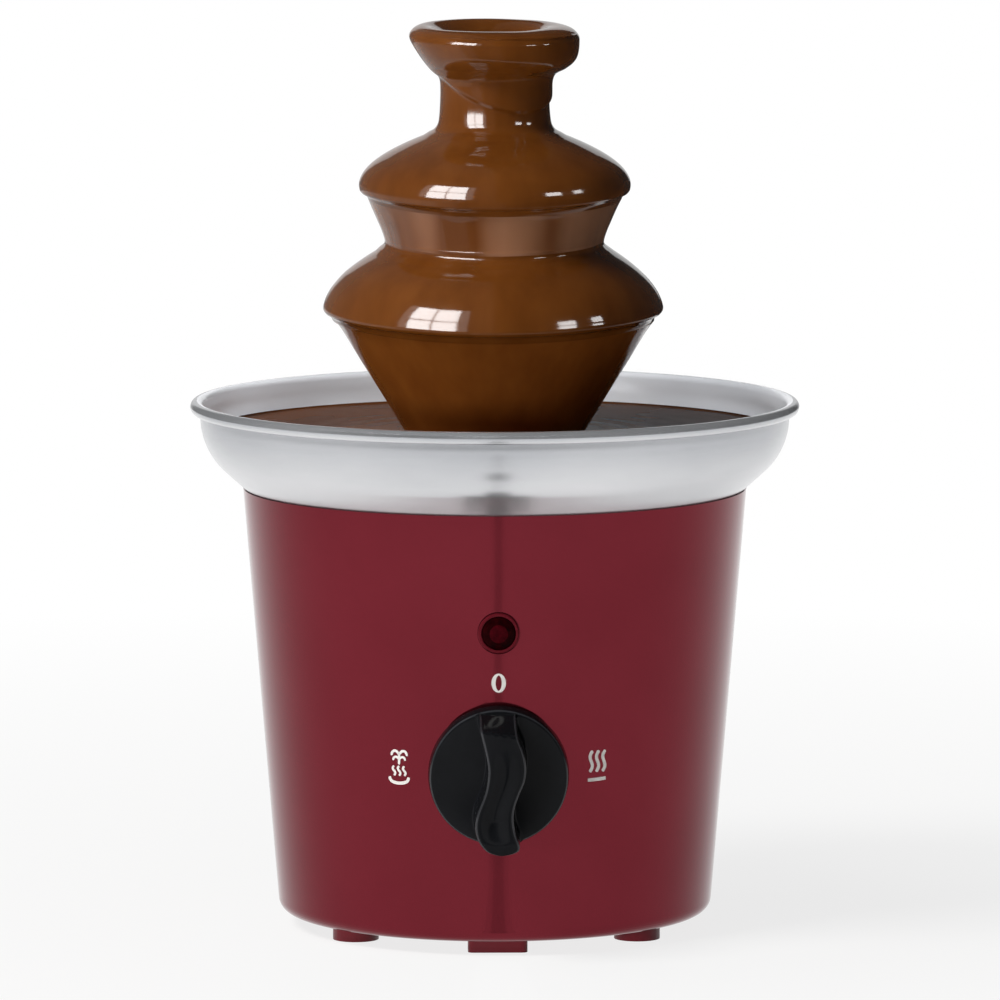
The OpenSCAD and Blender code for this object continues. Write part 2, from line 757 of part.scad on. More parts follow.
// Output wheel on the output shaft
module output_gear() {
    color(nylon) translate([0, 0, second_mesh_z]) difference() {
        rotate([0, 0, 180 / wheel_teeth]) spur_gear(wheel_teeth, gear_w);
        translate([0, 0, -cut]) cylinder(r = shaft_r + run_gap, h = gear_w + 2 * cut);
    }
}

// Output shaft with a flat at its upper end for the drive dog
module output_shaft() {
    color(zinc) difference() {
        translate([0, 0, second_mesh_z]) cylinder(r = shaft_r, h = shaft_top - second_mesh_z);
        translate([shaft_r - shaft_flat, -shaft_d, dog_z - run_gap])
            cube([shaft_d, 2 * shaft_d, dog_h + dog_flange_t]);
    }
}

// Six-sided dog keyed on the shaft's flat, which the auger's socket drops over
module drive_dog() {
    color(black) difference() {
        translate([0, 0, dog_z]) {
            cylinder(r = dog_flange_r, h = dog_flange_t);
            hexagon(dog_flats, dog_flange_t + dog_h);
        }
        difference() {
            translate([0, 0, dog_z - cut]) cylinder(r = shaft_r + run_gap, h = shaft_top + 2 * run_gap + cut - dog_z);
            translate([shaft_r - shaft_flat + run_gap, -shaft_d, dog_z - 2 * cut])
                cube([shaft_d, 2 * shaft_d, dog_h + dog_flange_t + 2 * cut]);
        }
    }
}

// Auger: a hexagonal socket in its hub, a core and one helical flight
module auger() {
    flight_h = auger_top - auger_tip_h - auger_z - auger_hub_h;
    half_flight = 180 * flight_t / auger_pitch;
    core_r = auger_core_d / 2;
    color(nylon) difference() {
        union() {
            translate([0, 0, auger_z]) cylinder(r = auger_hub_r, h = auger_hub_h);
            translate([0, 0, auger_z + auger_hub_h])
                linear_extrude(height = flight_h, twist = -360 * flight_h / auger_pitch, $fn = 12,
                               slices = round(flight_slices_per_turn * flight_h / auger_pitch))
                    polygon(concat(
                        arc([0, 0], auger_r, -half_flight, half_flight, 3),
                        arc([0, 0], core_r, half_flight + flight_root_angle,
                            360 - half_flight - flight_root_angle, 8)));
            translate([0, 0, auger_top - auger_tip_h])
                cylinder(r1 = core_r * 0.9, r2 = core_r * 0.5, h = auger_tip_h);
        }
        translate([0, 0, auger_z - cut]) hexagon(dog_flats + 2 * socket_gap, dog_h + socket_gap + cut);
    }
}

// Tower tube: skirt with ports, cone and a tube that steps in at each tier's seat
module tower_tube() {
    cone_h = skirt_r - lower_r;
    color(steel) difference() {
        turned([
            [skirt_r - skirt_wall, floor_z], [skirt_r, floor_z], [skirt_r, skirt_top],
            [lower_r, skirt_top + cone_h], [lower_r, lower_seat], [middle_r, lower_seat],
            [middle_r, upper_seat], [upper_r, upper_seat], [upper_r, tube_top], [bore_r, tube_top],
            [bore_r, skirt_top + cone_h - 1.6], [skirt_r - skirt_wall, skirt_top - 0.6]]);
        for (i = [0:port_count / 2 - 1]) rotate([0, 0, 45 + i * 360 / port_count])
            translate([-skirt_r - cut, 0, floor_z]) {
                translate([0, -port_w / 2, -cut]) cube([2 * (skirt_r + cut), port_w, port_h - port_w / 2 + cut]);
                translate([0, 0, port_h - port_w / 2]) rotate([0, 90, 0])
                    cylinder(d = port_w, h = 2 * (skirt_r + cut));
            }
    }
}

// Domed tier on a collar: the top face follows a curve from the collar to the lip
module tier(seat, bore, collar_h, start, control, lip) {
    top = bend(start, control, lip, curve_steps);
    under = reversed(moved_out(top, -tier_wall));
    color(steel) turned(concat(
        [[bore, seat + collar_h], [start[0], seat + collar_h]],
        top,
        under,
        [[start[0], seat], [bore, seat]]));
}
module lower_tier() {
    tier(lower_seat, middle_r + run_gap, lower_collar_h, lower_start, lower_bend, lower_lip);
}
module upper_tier() {
    tier(upper_seat, upper_r + run_gap, upper_collar_h, upper_start, upper_bend, upper_lip);
}

// Outer face of the crown from its collar to its lip
crown_side = bend([crown_collar_r, crown_flare_z], [crown_r - 1.6, crown_flare_z + 4],
                  [crown_r, crown_lip_z], curve_steps);

// Flared crown that slips over the tube's top end and rests on it
module crown() {
    color(steel) turned(concat(
        [[upper_r + run_gap, tube_top - crown_collar_h], [crown_collar_r, tube_top - crown_collar_h]],
        crown_side,
        [[crown_r - tier_wall, crown_lip_z]],
        reversed(bend([bore_r, tube_top], [crown_r - 4.4, tube_top + 2], [crown_r - tier_wall, crown_lip_z], 6)),
        [[bore_r, tube_top], [upper_r + run_gap, tube_top]]));
}

// Chocolate in the bowl, up to the fill level and clear of the tower's foot
module chocolate_pool() {
    color(chocolate) rotate_extrude() intersection() {
        polygon(concat(bowl_side(bowl_gauge + film_gap, pool_hole_r), [[pool_hole_r, bead_z]]));
        translate([0, bowl_z]) square([rim_r, pool_z - bowl_z]);
    }
}

// Chocolate over a tier: a film from the neck to the lip and a curtain that draws in as it falls
module tier_flow(start, control, lip, neck_r, foot_r, foot_z) {
    top = bend(start, control, lip, curve_steps);
    film_top = moved_out(top, film_t);
    film_under = moved_out(top, film_gap);
    edge = lip[0] + film_t;
    turn = [edge - curtain_inset, lip[1] - lip_drop];
    color(chocolate) turned(concat(
        [[neck_r, film_under[0][1]], [neck_r, film_top[0][1]]],
        film_top,
        bend([edge, lip[1]], [edge + 0.2, lip[1] - lip_drop + 0.8], turn, 5),
        [[foot_r, foot_z], [foot_r - film_t, foot_z], turn + [-film_t - 0.3, 0.4],
         [lip[0] - tier_wall - 1.2, lip[1] - 1.6], [lip[0] + film_gap, lip[1] - 1.6]],
        reversed(film_under)));
}
module chocolate_lower_flow() {
    tier_flow(lower_start, lower_bend, lower_lip, lower_start[0] + film_gap,
              lower_curtain_foot, pool_z + film_gap);
}
module chocolate_upper_flow() {
    tier_flow(upper_start, upper_bend, upper_lip, upper_start[0] + film_gap,
              upper_curtain_foot, upper_lip[1] - lip_drop - upper_curtain_drop);
}

// Chocolate that wells over the crown's lip and runs down its neck
module chocolate_crown_flow() {
    neck_z = upper_seat + upper_collar_h + film_gap;
    lip_r = crown_r + crown_film_t;
    crest_z = crown_lip_z + 2.4;
    neck_r = crown_collar_r + 0.8;
    color(chocolate) turned(concat(
        [[upper_r + film_gap, neck_z], [neck_r, neck_z], [neck_r, crown_flare_z - 1]],
        [for (p = crown_side) if (p[1] > crown_flare_z + 0.5) p + [crown_film_t, -0.4]],
        bend([lip_r, crown_lip_z], [lip_r, crest_z], [crown_r - 2.2, crest_z], 6),
        bend([crown_r - 2.2, crest_z], [bore_r + 3, crest_z], [bore_r + 0.3, tube_top + 2.6], 6),
        [[bore_r + 0.3, tube_top + film_gap + 0.1]],
        [for (p = bend([bore_r, tube_top], [crown_r - 4.4, tube_top + 2], [crown_r - tier_wall, crown_lip_z], 6))
            if (p[0] > bore_r + 0.4) p + [-film_gap, film_gap]],
        [[crown_r + film_gap, crown_lip_z + film_gap]],
        [for (p = reversed(crown_side)) p + [film_gap, 0]],
        [[crown_collar_r + film_gap, tube_top - crown_collar_h - film_gap],
         [upper_r + film_gap, tube_top - crown_collar_h - film_gap]]));
}

// Rotary switch behind the wall, with the threaded bush that comes through it
module rotary_switch() {
    blade = [5, 0.8, 8];
    color(black) on_wall(knob_z) difference() {
        union() {
            translate([0, 0, -pad_depth - switch_depth]) cylinder(r = switch_r, h = switch_depth);
            translate([0, 0, -pad_depth - 1]) cylinder(r = switch_bush_r, h = pad_depth + knob_lift + 1.9);
            for (a = [30:60:330]) rotate([0, 0, a])
                translate([switch_r - 4.5, 0, -pad_depth - switch_depth - blade[2]])
                    translate([-blade[1] / 2, -blade[0] / 2, 0]) cube([blade[1], blade[0], blade[2] + 1]);
        }
        translate([0, 0, -pad_depth - switch_depth + switch_floor])
            cylinder(r = switch_shaft_r + run_gap, h = switch_depth + pad_depth + knob_face);
    }
}

// Switch shaft with the flat that turns with the knob
module switch_shaft() {
    shaft_end = knob_face + 4;
    color(nylon) on_wall(knob_z) difference() {
        translate([0, 0, -pad_depth - switch_depth + switch_floor + run_gap])
            cylinder(r = switch_shaft_r, h = pad_depth + switch_depth - switch_floor - run_gap + shaft_end);
        translate([-switch_shaft_r, switch_shaft_r - switch_shaft_flat, knob_lift + 2.8])
            cube([2 * switch_shaft_r, switch_shaft_r, shaft_end]);
    }
}

// Nut that holds the switch bush to the wall, under the knob
module switch_nut() {
    color(zinc) on_wall(knob_z) translate([0, 0, -spot_depth]) difference() {
        hexagon(switch_nut_flats, switch_nut_h);
        translate([0, 0, -cut]) cylinder(r = switch_bush_r + run_gap, h = switch_nut_h + 2 * cut);
    }
}

// Knob: a skirted disc with a raised S-shaped grip that slopes down at the pointer end
module control_knob() {
    half_l = grip_l / 2;
    function swing(y) = grip_swing * sin(360 * y / grip_wave);
    function side_x(y, side) =
        swing(y) + side * grip_w / 2 * sqrt(max(0.02, 1 - pow(abs(y) / half_l, 8)));
    ys = [for (i = [0:grip_steps]) -half_l + grip_l * i / grip_steps];
    outline = concat(
        [for (y = ys) [side_x(y, 1), y]],
        [for (y = reversed(ys)) [side_x(y, -1), y]]);
    profile = concat(
        [[-half_l - cut, 0], [half_l + cut, 0]],
        [[half_l, 3]],
        bend([half_l, 3], [half_l - 2.4, grip_h], [half_l - 6.5, grip_h], 5),
        bend([-half_l + 3, grip_h], [-half_l + 0.4, grip_h], [-half_l, grip_h - 4], 5),
        [[-half_l - cut, grip_h - 5]]);
    color(black) on_wall(knob_z) difference() {
        union() {
            turned([[0, knob_lift], [knob_r, knob_lift], [knob_r - 0.4, knob_face - knob_edge],
                    [knob_r - 0.4 - knob_edge, knob_face], [0, knob_face]]);
            translate([0, 0, knob_face - 0.5]) intersection() {
                linear_extrude(height = grip_h + 1) polygon(outline);
                rotate([90, 0, 90]) translate([0, 0.5, -grip_w])
                    linear_extrude(height = 2 * grip_w) polygon(profile);
            }
        }
        translate([0, 0, knob_lift - cut]) cylinder(r = knob_cavity_r, h = knob_cavity_h + cut);
        difference() {
            translate([0, 0, knob_lift]) cylinder(r = switch_shaft_r + run_gap, h = knob_skirt + 4.2);
            translate([-switch_shaft_r - cut, switch_shaft_r - switch_shaft_flat + run_gap, knob_lift + knob_cavity_h - 0.4])
                cube([2 * (switch_shaft_r + cut), switch_shaft_r, knob_skirt + 6]);
        }
    }
}

// Red lens of the pilot lamp with its thin lip
module pilot_lens() {
    dome_h = 1.2;
    color([0.5, 0.0, 0.02]) on_wall(lamp_z) turned(concat(
        [[0, -lens_depth], [lamp_r - run_gap, -lens_depth], [lamp_r - run_gap, -spot_depth],
         [lamp_r + lamp_lip, -spot_depth], [lamp_r + lamp_lip, 0.4], [lamp_r + lamp_lip - 0.5, 0.8],
         [lamp_r - 0.4, 0.8]],
        bend([lamp_r - 0.4, 0.6], [lamp_r / 2, 0.6 + dome_h], [0, 0.6 + dome_h], 5)));
}

// Neon lamp body behind the lens
module pilot_lamp() {
    color("ivory") on_wall(lamp_z) translate([0, 0, -lens_depth - lamp_body_l])
        cylinder(r = lamp_body_r, h = lamp_body_l);
}

// Spring clip that holds the lens against the wall from inside
module lamp_clip() {
    color(zinc) on_wall(lamp_z) translate([0, 0, -pad_depth - 1]) difference() {
        cylinder(r = lamp_r + 2, h = 1);
        translate([0, 0, -cut]) cylinder(r = lamp_r + run_gap, h = 1 + 2 * cut);
    }
}

base_housing();
base_plate();
base_screws();
cord_grommet();
terminal_block();
bowl();
bowl_studs();
stud_nuts();
heat_plate();
heating_element();
thermostat();
thermal_fuse();
shaft_seal();
motor_bracket();
gearbox_lid();
gear_case();
gear_plate();
motor_can();
stator_coil();
motor_screws();
rotor_magnet();
rotor_shaft();
rotor_pinion();
idler_pin();
idler_gear();
output_gear();
output_shaft();
drive_dog();
auger();
tower_tube();
lower_tier();
upper_tier();
crown();
chocolate_pool();
chocolate_lower_flow();
chocolate_upper_flow();
chocolate_crown_flow();
rotary_switch();
switch_shaft();
switch_nut();
control_knob();
pilot_lens();
pilot_lamp();
lamp_clip();
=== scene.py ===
import json
import math

import bpy
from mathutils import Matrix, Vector, noise


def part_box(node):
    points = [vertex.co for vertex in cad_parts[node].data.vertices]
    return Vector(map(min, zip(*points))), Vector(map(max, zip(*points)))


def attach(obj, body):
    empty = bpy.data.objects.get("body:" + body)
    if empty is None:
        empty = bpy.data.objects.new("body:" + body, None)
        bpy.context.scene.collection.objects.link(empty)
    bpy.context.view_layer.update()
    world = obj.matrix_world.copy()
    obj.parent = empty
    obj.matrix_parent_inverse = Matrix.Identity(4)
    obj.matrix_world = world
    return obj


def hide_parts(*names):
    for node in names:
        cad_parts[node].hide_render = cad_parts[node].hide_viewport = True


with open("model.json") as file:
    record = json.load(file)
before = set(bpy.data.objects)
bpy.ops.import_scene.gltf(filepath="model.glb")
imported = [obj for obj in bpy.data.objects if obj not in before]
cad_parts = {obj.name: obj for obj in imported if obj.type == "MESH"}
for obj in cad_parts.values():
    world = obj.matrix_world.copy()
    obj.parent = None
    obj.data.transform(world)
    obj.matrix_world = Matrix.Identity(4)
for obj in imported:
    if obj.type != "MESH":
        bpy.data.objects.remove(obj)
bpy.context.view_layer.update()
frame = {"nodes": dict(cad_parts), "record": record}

MM = 0.001
TAU = 2 * math.pi
PI = math.pi

# Sizes of the part in millimetres, as in its source

BASE_Z, TOP_Z = 4.0, 127.5              # lower and upper edge of the housing
BOTTOM_R, TOP_R = 62.5, 72.8            # its radii there
TAPER = math.atan((TOP_R - BOTTOM_R) / (TOP_Z - BASE_Z))
KNOB_Z, LAMP_Z = 53.5, 94.0

RIM_R, GAUGE = 88, 0.8                  # bowl: outside of its bead, thickness of its sheet
BEAD_R, BEAD_Z = 1.85, 151.025
LEAN = math.radians(48)                 # of its side, from upright
DROP, CORNER_R, SHOULDER_R = 22.5, 8.0, 20.0
WALL_R = RIM_R - 2 * BEAD_R + GAUGE
SEAT_R = TOP_R - 0.5
SHAFT_HOLE_R = 8.0
SHOULDER = (WALL_R - SHOULDER_R,
            TOP_Z + (WALL_R - SEAT_R) / math.tan(LEAN) + SHOULDER_R * math.tan(LEAN / 2))

POOL_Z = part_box("chocolate_pool")[1][2] / MM
POOL_HOLE_R = 21.3
FOOT_R = 26.0                           # where the lower curtain meets the pool
FILM, FILM_GAP = 1.2, 0.15              # thickness of the chocolate, and its gap to what it doesn't touch

# tiers of the tower, each as the three points of a curve in (radius, height)
UPPER = ((16.0, 229.8), (38.0, 221.8), (38.0, 215))
LOWER = ((16.5, 204), (44.4, 191.4), (47.5, 180.4))


def wall_r(z):
    return BOTTOM_R + (z - BASE_Z) * math.tan(TAPER)


# Paths in (radius, height)

def bend(p0, p1, p2, n):
    out = []
    for i in range(n + 1):
        t = i / n
        a, b, c = (1 - t) ** 2, 2 * t * (1 - t), t * t
        out.append((a * p0[0] + b * p1[0] + c * p2[0], a * p0[1] + b * p1[1] + c * p2[1]))
    return out


def moved_out(points, d):
    out = []
    for i, p in enumerate(points):
        a, b = points[max(i - 1, 0)], points[min(i + 1, len(points) - 1)]
        dx, dz = b[0] - a[0], b[1] - a[1]
        n = math.hypot(dx, dz)
        out.append((p[0] - d * dz / n, p[1] + d * dx / n))
    return out


def through(points, per):
    """A smooth path through points of any dimension, the same points included."""
    padded = [points[0], *points, points[-1]]
    out = []
    for i in range(1, len(padded) - 2):
        p0, p1, p2, p3 = padded[i - 1:i + 3]
        for k in range(per):
            t = k / per
            out.append(tuple(
                0.5 * (2 * b + (c - a) * t + (2 * a - 5 * b + 4 * c - d) * t * t
                       + (3 * b - a - 3 * c + d) * t ** 3)
                for a, b, c, d in zip(p0, p1, p2, p3)))
    out.append(tuple(points[-1]))
    return out


def arc(cx, cz, r, a0, a1, n):
    angles = [a0 + (a1 - a0) * i / n for i in range(n + 1)]
    return [(cx + r * math.cos(a), cz + r * math.sin(a)) for a in angles]


def bowl_side(depth, hub):
    """The bowl's floor and side from its hub to its shoulder, at a depth inside its outer skin."""
    corner_x = SEAT_R - DROP * math.tan(LEAN) - CORNER_R * math.tan((PI / 2 - LEAN) / 2)
    floor_z = TOP_Z - DROP
    return ([(hub, floor_z + depth)]
            + arc(corner_x, floor_z + CORNER_R, CORNER_R - depth, -PI / 2, -LEAN, 10)
            + arc(*SHOULDER, SHOULDER_R - depth, -LEAN, 0, 24))


def read_off(path, v):
    """Second number of the path where its first, which only grows, is v."""
    for (v0, x0), (v1, x1) in zip(path[:-1], path[1:]):
        if v <= v1:
            return x0 + (x1 - x0) * (v - v0) / max(v1 - v0, 1e-6)
    return path[-1][1]


# Meshes

def mesh_object(name, verts, faces, body, sharp):
    mesh = bpy.data.meshes.new(name)
    mesh.from_pydata([tuple(c * MM for c in v) for v in verts], [], faces)
    mesh.validate()
    mesh.shade_smooth()
    mesh.set_sharp_from_angle(angle=math.radians(sharp))
    obj = bpy.data.objects.new(name, mesh)
    bpy.context.scene.collection.objects.link(obj)
    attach(obj, body)
    return obj


def lathe(name, path, body, segs, closed=False, shape=None, place=None, sharp=50):
    """Turned mesh. The path runs with the solid on its left, seen with radius to the right and height up;
    shape(i, r, z, angle) moves a point, place maps the finished point into the frame."""
    verts, faces, rings = [], [], []
    for i, (r, z) in enumerate(path):
        if r < 1e-6:
            rings.append([len(verts)])
            verts.append((0.0, 0.0, z))
            continue
        ring = []
        for k in range(segs):
            a = TAU * k / segs
            radius, height = shape(i, r, z, a) if shape else (r, z)
            ring.append(len(verts))
            verts.append((radius * math.cos(a), radius * math.sin(a), height))
        rings.append(ring)
    pairs = list(zip(rings[:-1], rings[1:]))
    if closed:
        pairs.append((rings[-1], rings[0]))
    for lo, hi in pairs:
        for k in range(segs):
            n = (k + 1) % segs
            if len(lo) == 1:
                faces.append((lo[0], hi[n], hi[k]))
            elif len(hi) == 1:
                faces.append((lo[k], lo[n], hi[0]))
            else:
                faces.append((lo[k], lo[n], hi[n], hi[k]))
    if place:
        verts = [place(v) for v in verts]
    return mesh_object(name, verts, faces, body, sharp)


def on_wall(z0):
    """Places a point of the wall's own frame (x across, y up the wall, z out) in the part's frame."""
    c, s = math.cos(TAPER), math.sin(TAPER)
    r0 = wall_r(z0)

    def place(p):
        x, y, z = p
        return (x, -r0 - z * c - y * s, z0 + y * c - z * s)
    return place


def wrapped(u, v, z0, lift):
    """A point printed on the cone: u along the girth, v up the wall, lift out of it."""
    z = z0 + v * math.cos(TAPER)
    r = wall_r(z)
    a = u / r
    radius = r + lift * math.cos(TAPER)
    return (radius * math.sin(a), -radius * math.cos(a), z - lift * math.sin(TAPER))


# Materials

def new_material(name):
    mat = bpy.data.materials.new(name)
    mat.use_nodes = True
    tree = mat.node_tree
    return mat, tree, tree.nodes["Principled BSDF"]


def add(tree, kind, **values):
    node = tree.nodes.new(kind)
    for name, value in values.items():
        setattr(node, name, value)
    return node


def coords(tree, scale=(1, 1, 1)):
    coordinates = add(tree, "ShaderNodeTexCoord")
    mapping = add(tree, "ShaderNodeMapping")
    mapping.inputs["Scale"].default_value = scale
    tree.links.new(coordinates.outputs["Object"], mapping.inputs["Vector"])
    return mapping.outputs["Vector"]


def grain(tree, scale, detail=3.0, stretch=(1, 1, 1), rough=0.5):
    texture = add(tree, "ShaderNodeTexNoise")
    texture.inputs["Scale"].default_value = scale
    texture.inputs["Detail"].default_value = detail
    texture.inputs["Roughness"].default_value = rough
    tree.links.new(coords(tree, stretch), texture.inputs["Vector"])
    return texture.outputs["Fac"]


def blend_of(tree, fac, colours, spots=None):
    ramp = add(tree, "ShaderNodeValToRGB")
    stops = ramp.color_ramp.elements
    spots = spots or [0.3 + 0.4 * i / (len(colours) - 1) for i in range(len(colours))]
    while len(stops) < len(colours):
        stops.new(0.5)
    for stop, colour, spot in zip(stops, colours, spots):
        stop.position = spot
        stop.color = (*colour, 1)
    tree.links.new(fac, ramp.inputs["Fac"])
    return ramp.outputs["Color"]


def ranged(tree, fac, low, high, lo_in=0.3, hi_in=0.7):
    node = add(tree, "ShaderNodeMapRange")
    for socket, v in (("From Min", lo_in), ("From Max", hi_in), ("To Min", low), ("To Max", high)):
        node.inputs[socket].default_value = v
    tree.links.new(fac, node.inputs["Value"])
    return node.outputs["Result"]


def mixed(tree, fac, first, second):
    node = add(tree, "ShaderNodeMix", data_type="RGBA")
    tree.links.new(fac, node.inputs[0])
    tree.links.new(first, node.inputs[6])
    tree.links.new(second, node.inputs[7])
    return node.outputs[2]


def bumped(tree, bsdf, fac, strength, distance):
    node = add(tree, "ShaderNodeBump")
    node.inputs["Strength"].default_value = strength
    node.inputs["Distance"].default_value = distance
    tree.links.new(fac, node.inputs["Height"])
    tree.links.new(node.outputs["Normal"], bsdf.inputs["Normal"])


def surface(name, dark, light, rough, scale, metallic=0.0, specular=0.5, stretch=(1, 1, 1),
            bump=0.05, depth=0.0002, bump_scale=None):
    """Procedural finish: two tones and a roughness range from one noise, a bump from another."""
    mat, tree, shader = new_material(name)
    tone = grain(tree, scale, 3.0, stretch)
    tree.links.new(blend_of(tree, tone, [dark, light]), shader.inputs["Base Color"])
    tree.links.new(ranged(tree, tone, *rough), shader.inputs["Roughness"])
    shader.inputs["Metallic"].default_value = metallic
    shader.inputs["Specular IOR Level"].default_value = specular
    bumped(tree, shader, grain(tree, bump_scale or scale * 4, 2.0, stretch), bump, depth)
    return mat


RED = surface("red_gloss", (0.158, 0.0152, 0.0242), (0.171, 0.0171, 0.0271), (0.08, 0.12), 35,
              metallic=0.85, specular=0.3, bump=0.02, depth=0.0001, bump_scale=420)
RED_FEET = surface("red_satin", (0.165, 0.006, 0.015), (0.185, 0.007, 0.017), (0.30, 0.42), 40,
                   specular=0.35, bump_scale=900)
ZINC = surface("zinc_plate", (0.48, 0.49, 0.52), (0.60, 0.60, 0.62), (0.28, 0.42), 120, metallic=1.0)
RUBBER = surface("black_rubber", (0.012, 0.012, 0.012), (0.022, 0.022, 0.022), (0.65, 0.8), 200,
                 specular=0.3)
NYLON = surface("white_nylon", (0.70, 0.69, 0.63), (0.80, 0.79, 0.73), (0.42, 0.52), 90)
ALUMINIUM = surface("aluminium", (0.66, 0.67, 0.70), (0.78, 0.78, 0.80), (0.30, 0.45), 80,
                    metallic=1.0, stretch=(1, 14, 1))
SHEATH = surface("element_sheath", (0.13, 0.12, 0.12), (0.26, 0.25, 0.23), (0.38, 0.55), 150,
                 metallic=1.0)
PHENOLIC = surface("phenolic", (0.24, 0.14, 0.07), (0.38, 0.24, 0.13), (0.45, 0.6), 140)
SILICONE = surface("silicone", (0.70, 0.70, 0.67), (0.80, 0.80, 0.77), (0.45, 0.6), 110)
WINDING = surface("winding_tape", (0.40, 0.20, 0.05), (0.66, 0.38, 0.12), (0.35, 0.55), 60,
                  stretch=(1, 1, 18))
FERRITE = surface("ferrite", (0.035, 0.035, 0.04), (0.09, 0.09, 0.10), (0.5, 0.7), 220)
BLACK = surface("black_moulding", (0.012, 0.012, 0.014), (0.024, 0.024, 0.027), (0.32, 0.45), 160)
KNOB = surface("knob_black", (0.0045, 0.005, 0.006), (0.007, 0.0075, 0.009), (0.12, 0.18), 90,
               specular=0.09, bump=0.02, bump_scale=700)
# painted highlight: a lighter, glossier copy of the knob's black for its edges, painting bright lines along
# them
KNOB_EDGE_HIGHLIGHT = surface("knob_edge", (0.020, 0.021, 0.024), (0.028, 0.029, 0.033), (0.16, 0.22), 90,
                    specular=0.28, bump=0.02, bump_scale=700)
PRINT = surface("white_print", (0.70, 0.69, 0.66), (0.78, 0.77, 0.74), (0.40, 0.5), 300, specular=0.3)
BEZEL = surface("lens_bezel", (0.088, 0.006, 0.011), (0.105, 0.007, 0.013), (0.40, 0.48), 60,
                specular=0.07, bump=0.02, bump_scale=500)


def steel_material():
    """Satin steel with fine drawing lines round it. Its inside is less metallic than its outside and is
    painted lighter, as painted light; on the outside the upright wall is painted darker and the downward
    slope lighter, as painted shade and reflection.
    """
    mat, tree, shader = new_material("satin_steel")
    tone = grain(tree, 22, 4, (0.5, 0.5, 1.6))
    # painted shade and reflection: darker tone for the upright wall, lighter tone for the downward slope;
    # painted light: lightest tone for the inside
    wall = blend_of(tree, tone, [(0.400, 0.412, 0.435), (0.530, 0.540, 0.56)])
    slope = blend_of(tree, tone, [(0.608, 0.619, 0.64), (0.748, 0.750, 0.768)])
    inside = blend_of(tree, tone, [(0.735, 0.757, 0.80), (0.812, 0.832, 0.875)])
    tree.links.new(ranged(tree, tone, 0.15, 0.25), shader.inputs["Roughness"])
    coordinates = add(tree, "ShaderNodeTexCoord")
    level_units = []
    for name in ("Object", "Normal"):
        level = add(tree, "ShaderNodeVectorMath", operation="MULTIPLY")
        level.inputs[1].default_value = (1, 1, 0)
        tree.links.new(coordinates.outputs[name], level.inputs[0])
        unit = add(tree, "ShaderNodeVectorMath", operation="NORMALIZE")
        tree.links.new(level.outputs[0], unit.inputs[0])
        level_units.append(unit.outputs[0])
    outward = add(tree, "ShaderNodeVectorMath", operation="DOT_PRODUCT")
    tree.links.new(level_units[0], outward.inputs[0])
    tree.links.new(level_units[1], outward.inputs[1])
    side = ranged(tree, outward.outputs["Value"], 0.0, 1.0, -0.5, 0.3)
    tree.links.new(ranged(tree, side, 0.15, 0.82, 0.0, 1.0), shader.inputs["Metallic"])
    split = add(tree, "ShaderNodeSeparateXYZ")
    tree.links.new(coordinates.outputs["Normal"], split.inputs[0])
    # painted shade and reflection: the outside turns from the wall's darker tone to the slope's lighter one
    # as its normal points down
    outside = mixed(tree, ranged(tree, split.outputs["Z"], 1.0, 0.0, -0.62, -0.12), wall, slope)
    # painted light: faces turned inwards get the lighter inside tone
    tree.links.new(mixed(tree, side, inside, outside), shader.inputs["Base Color"])
    bumped(tree, shader, grain(tree, 60, 2, (0.5, 0.5, 26)), 0.05, 0.00006)
    return mat


def tower_material():
    """Pale moulding with chocolate left on it in patches."""
    mat, tree, shader = new_material("tower_moulding")
    patches = grain(tree, 55, 4, (1, 1, 0.5))
    tones = [(0.10, 0.032, 0.008), (0.14, 0.05, 0.015), (0.50, 0.44, 0.34)]
    tree.links.new(blend_of(tree, patches, tones, [0.0, 0.56, 0.72]), shader.inputs["Base Color"])
    tree.links.new(ranged(tree, patches, 0.16, 0.42), shader.inputs["Roughness"])
    shader.inputs["Specular IOR Level"].default_value = 0.4
    bumped(tree, shader, patches, 0.25, 0.0004)
    return mat


def chocolate_material(name, dark, light, low=0.06, high=0.11, streaks=(1, 1, 0.12), spec=0.36,
                       spots=None, detail=3, bump=0.06):
    mat, tree, shader = new_material(name)
    tone = grain(tree, 90, detail, streaks, 0.55)
    tree.links.new(blend_of(tree, tone, [dark, light], spots), shader.inputs["Base Color"])
    tree.links.new(ranged(tree, tone, low, high), shader.inputs["Roughness"])
    shader.inputs["Specular IOR Level"].default_value = spec
    shader.inputs["Subsurface Weight"].default_value = 0.06
    shader.inputs["Subsurface Radius"].default_value = (0.004, 0.0018, 0.0008)
    shader.inputs["Subsurface Scale"].default_value = 0.5
    bumped(tree, shader, grain(tree, 140, 2, streaks), bump, 0.0006)
    return mat


def lens_material(name, dark, light):
    mat, tree, shader = new_material(name)
    cells = grain(tree, 600, 2)
    tree.links.new(blend_of(tree, cells, [dark, light]), shader.inputs["Base Color"])
    tree.links.new(ranged(tree, cells, 0.05, 0.12), shader.inputs["Roughness"])
    shader.inputs["Specular IOR Level"].default_value = 0.012
    bumped(tree, shader, cells, 0.06, 0.0002)
    return mat


STEEL = steel_material()
TOWER = tower_material()
CHOCOLATE = chocolate_material("chocolate", (0.105, 0.030, 0.0042), (0.140, 0.043, 0.007))
POOL = chocolate_material("chocolate_pool", (0.085, 0.026, 0.006), (0.115, 0.037, 0.010), 0.16, 0.20,
                          streaks=(0.35, 0.35, 0.35), spec=0.002, detail=1.5, bump=0.02)
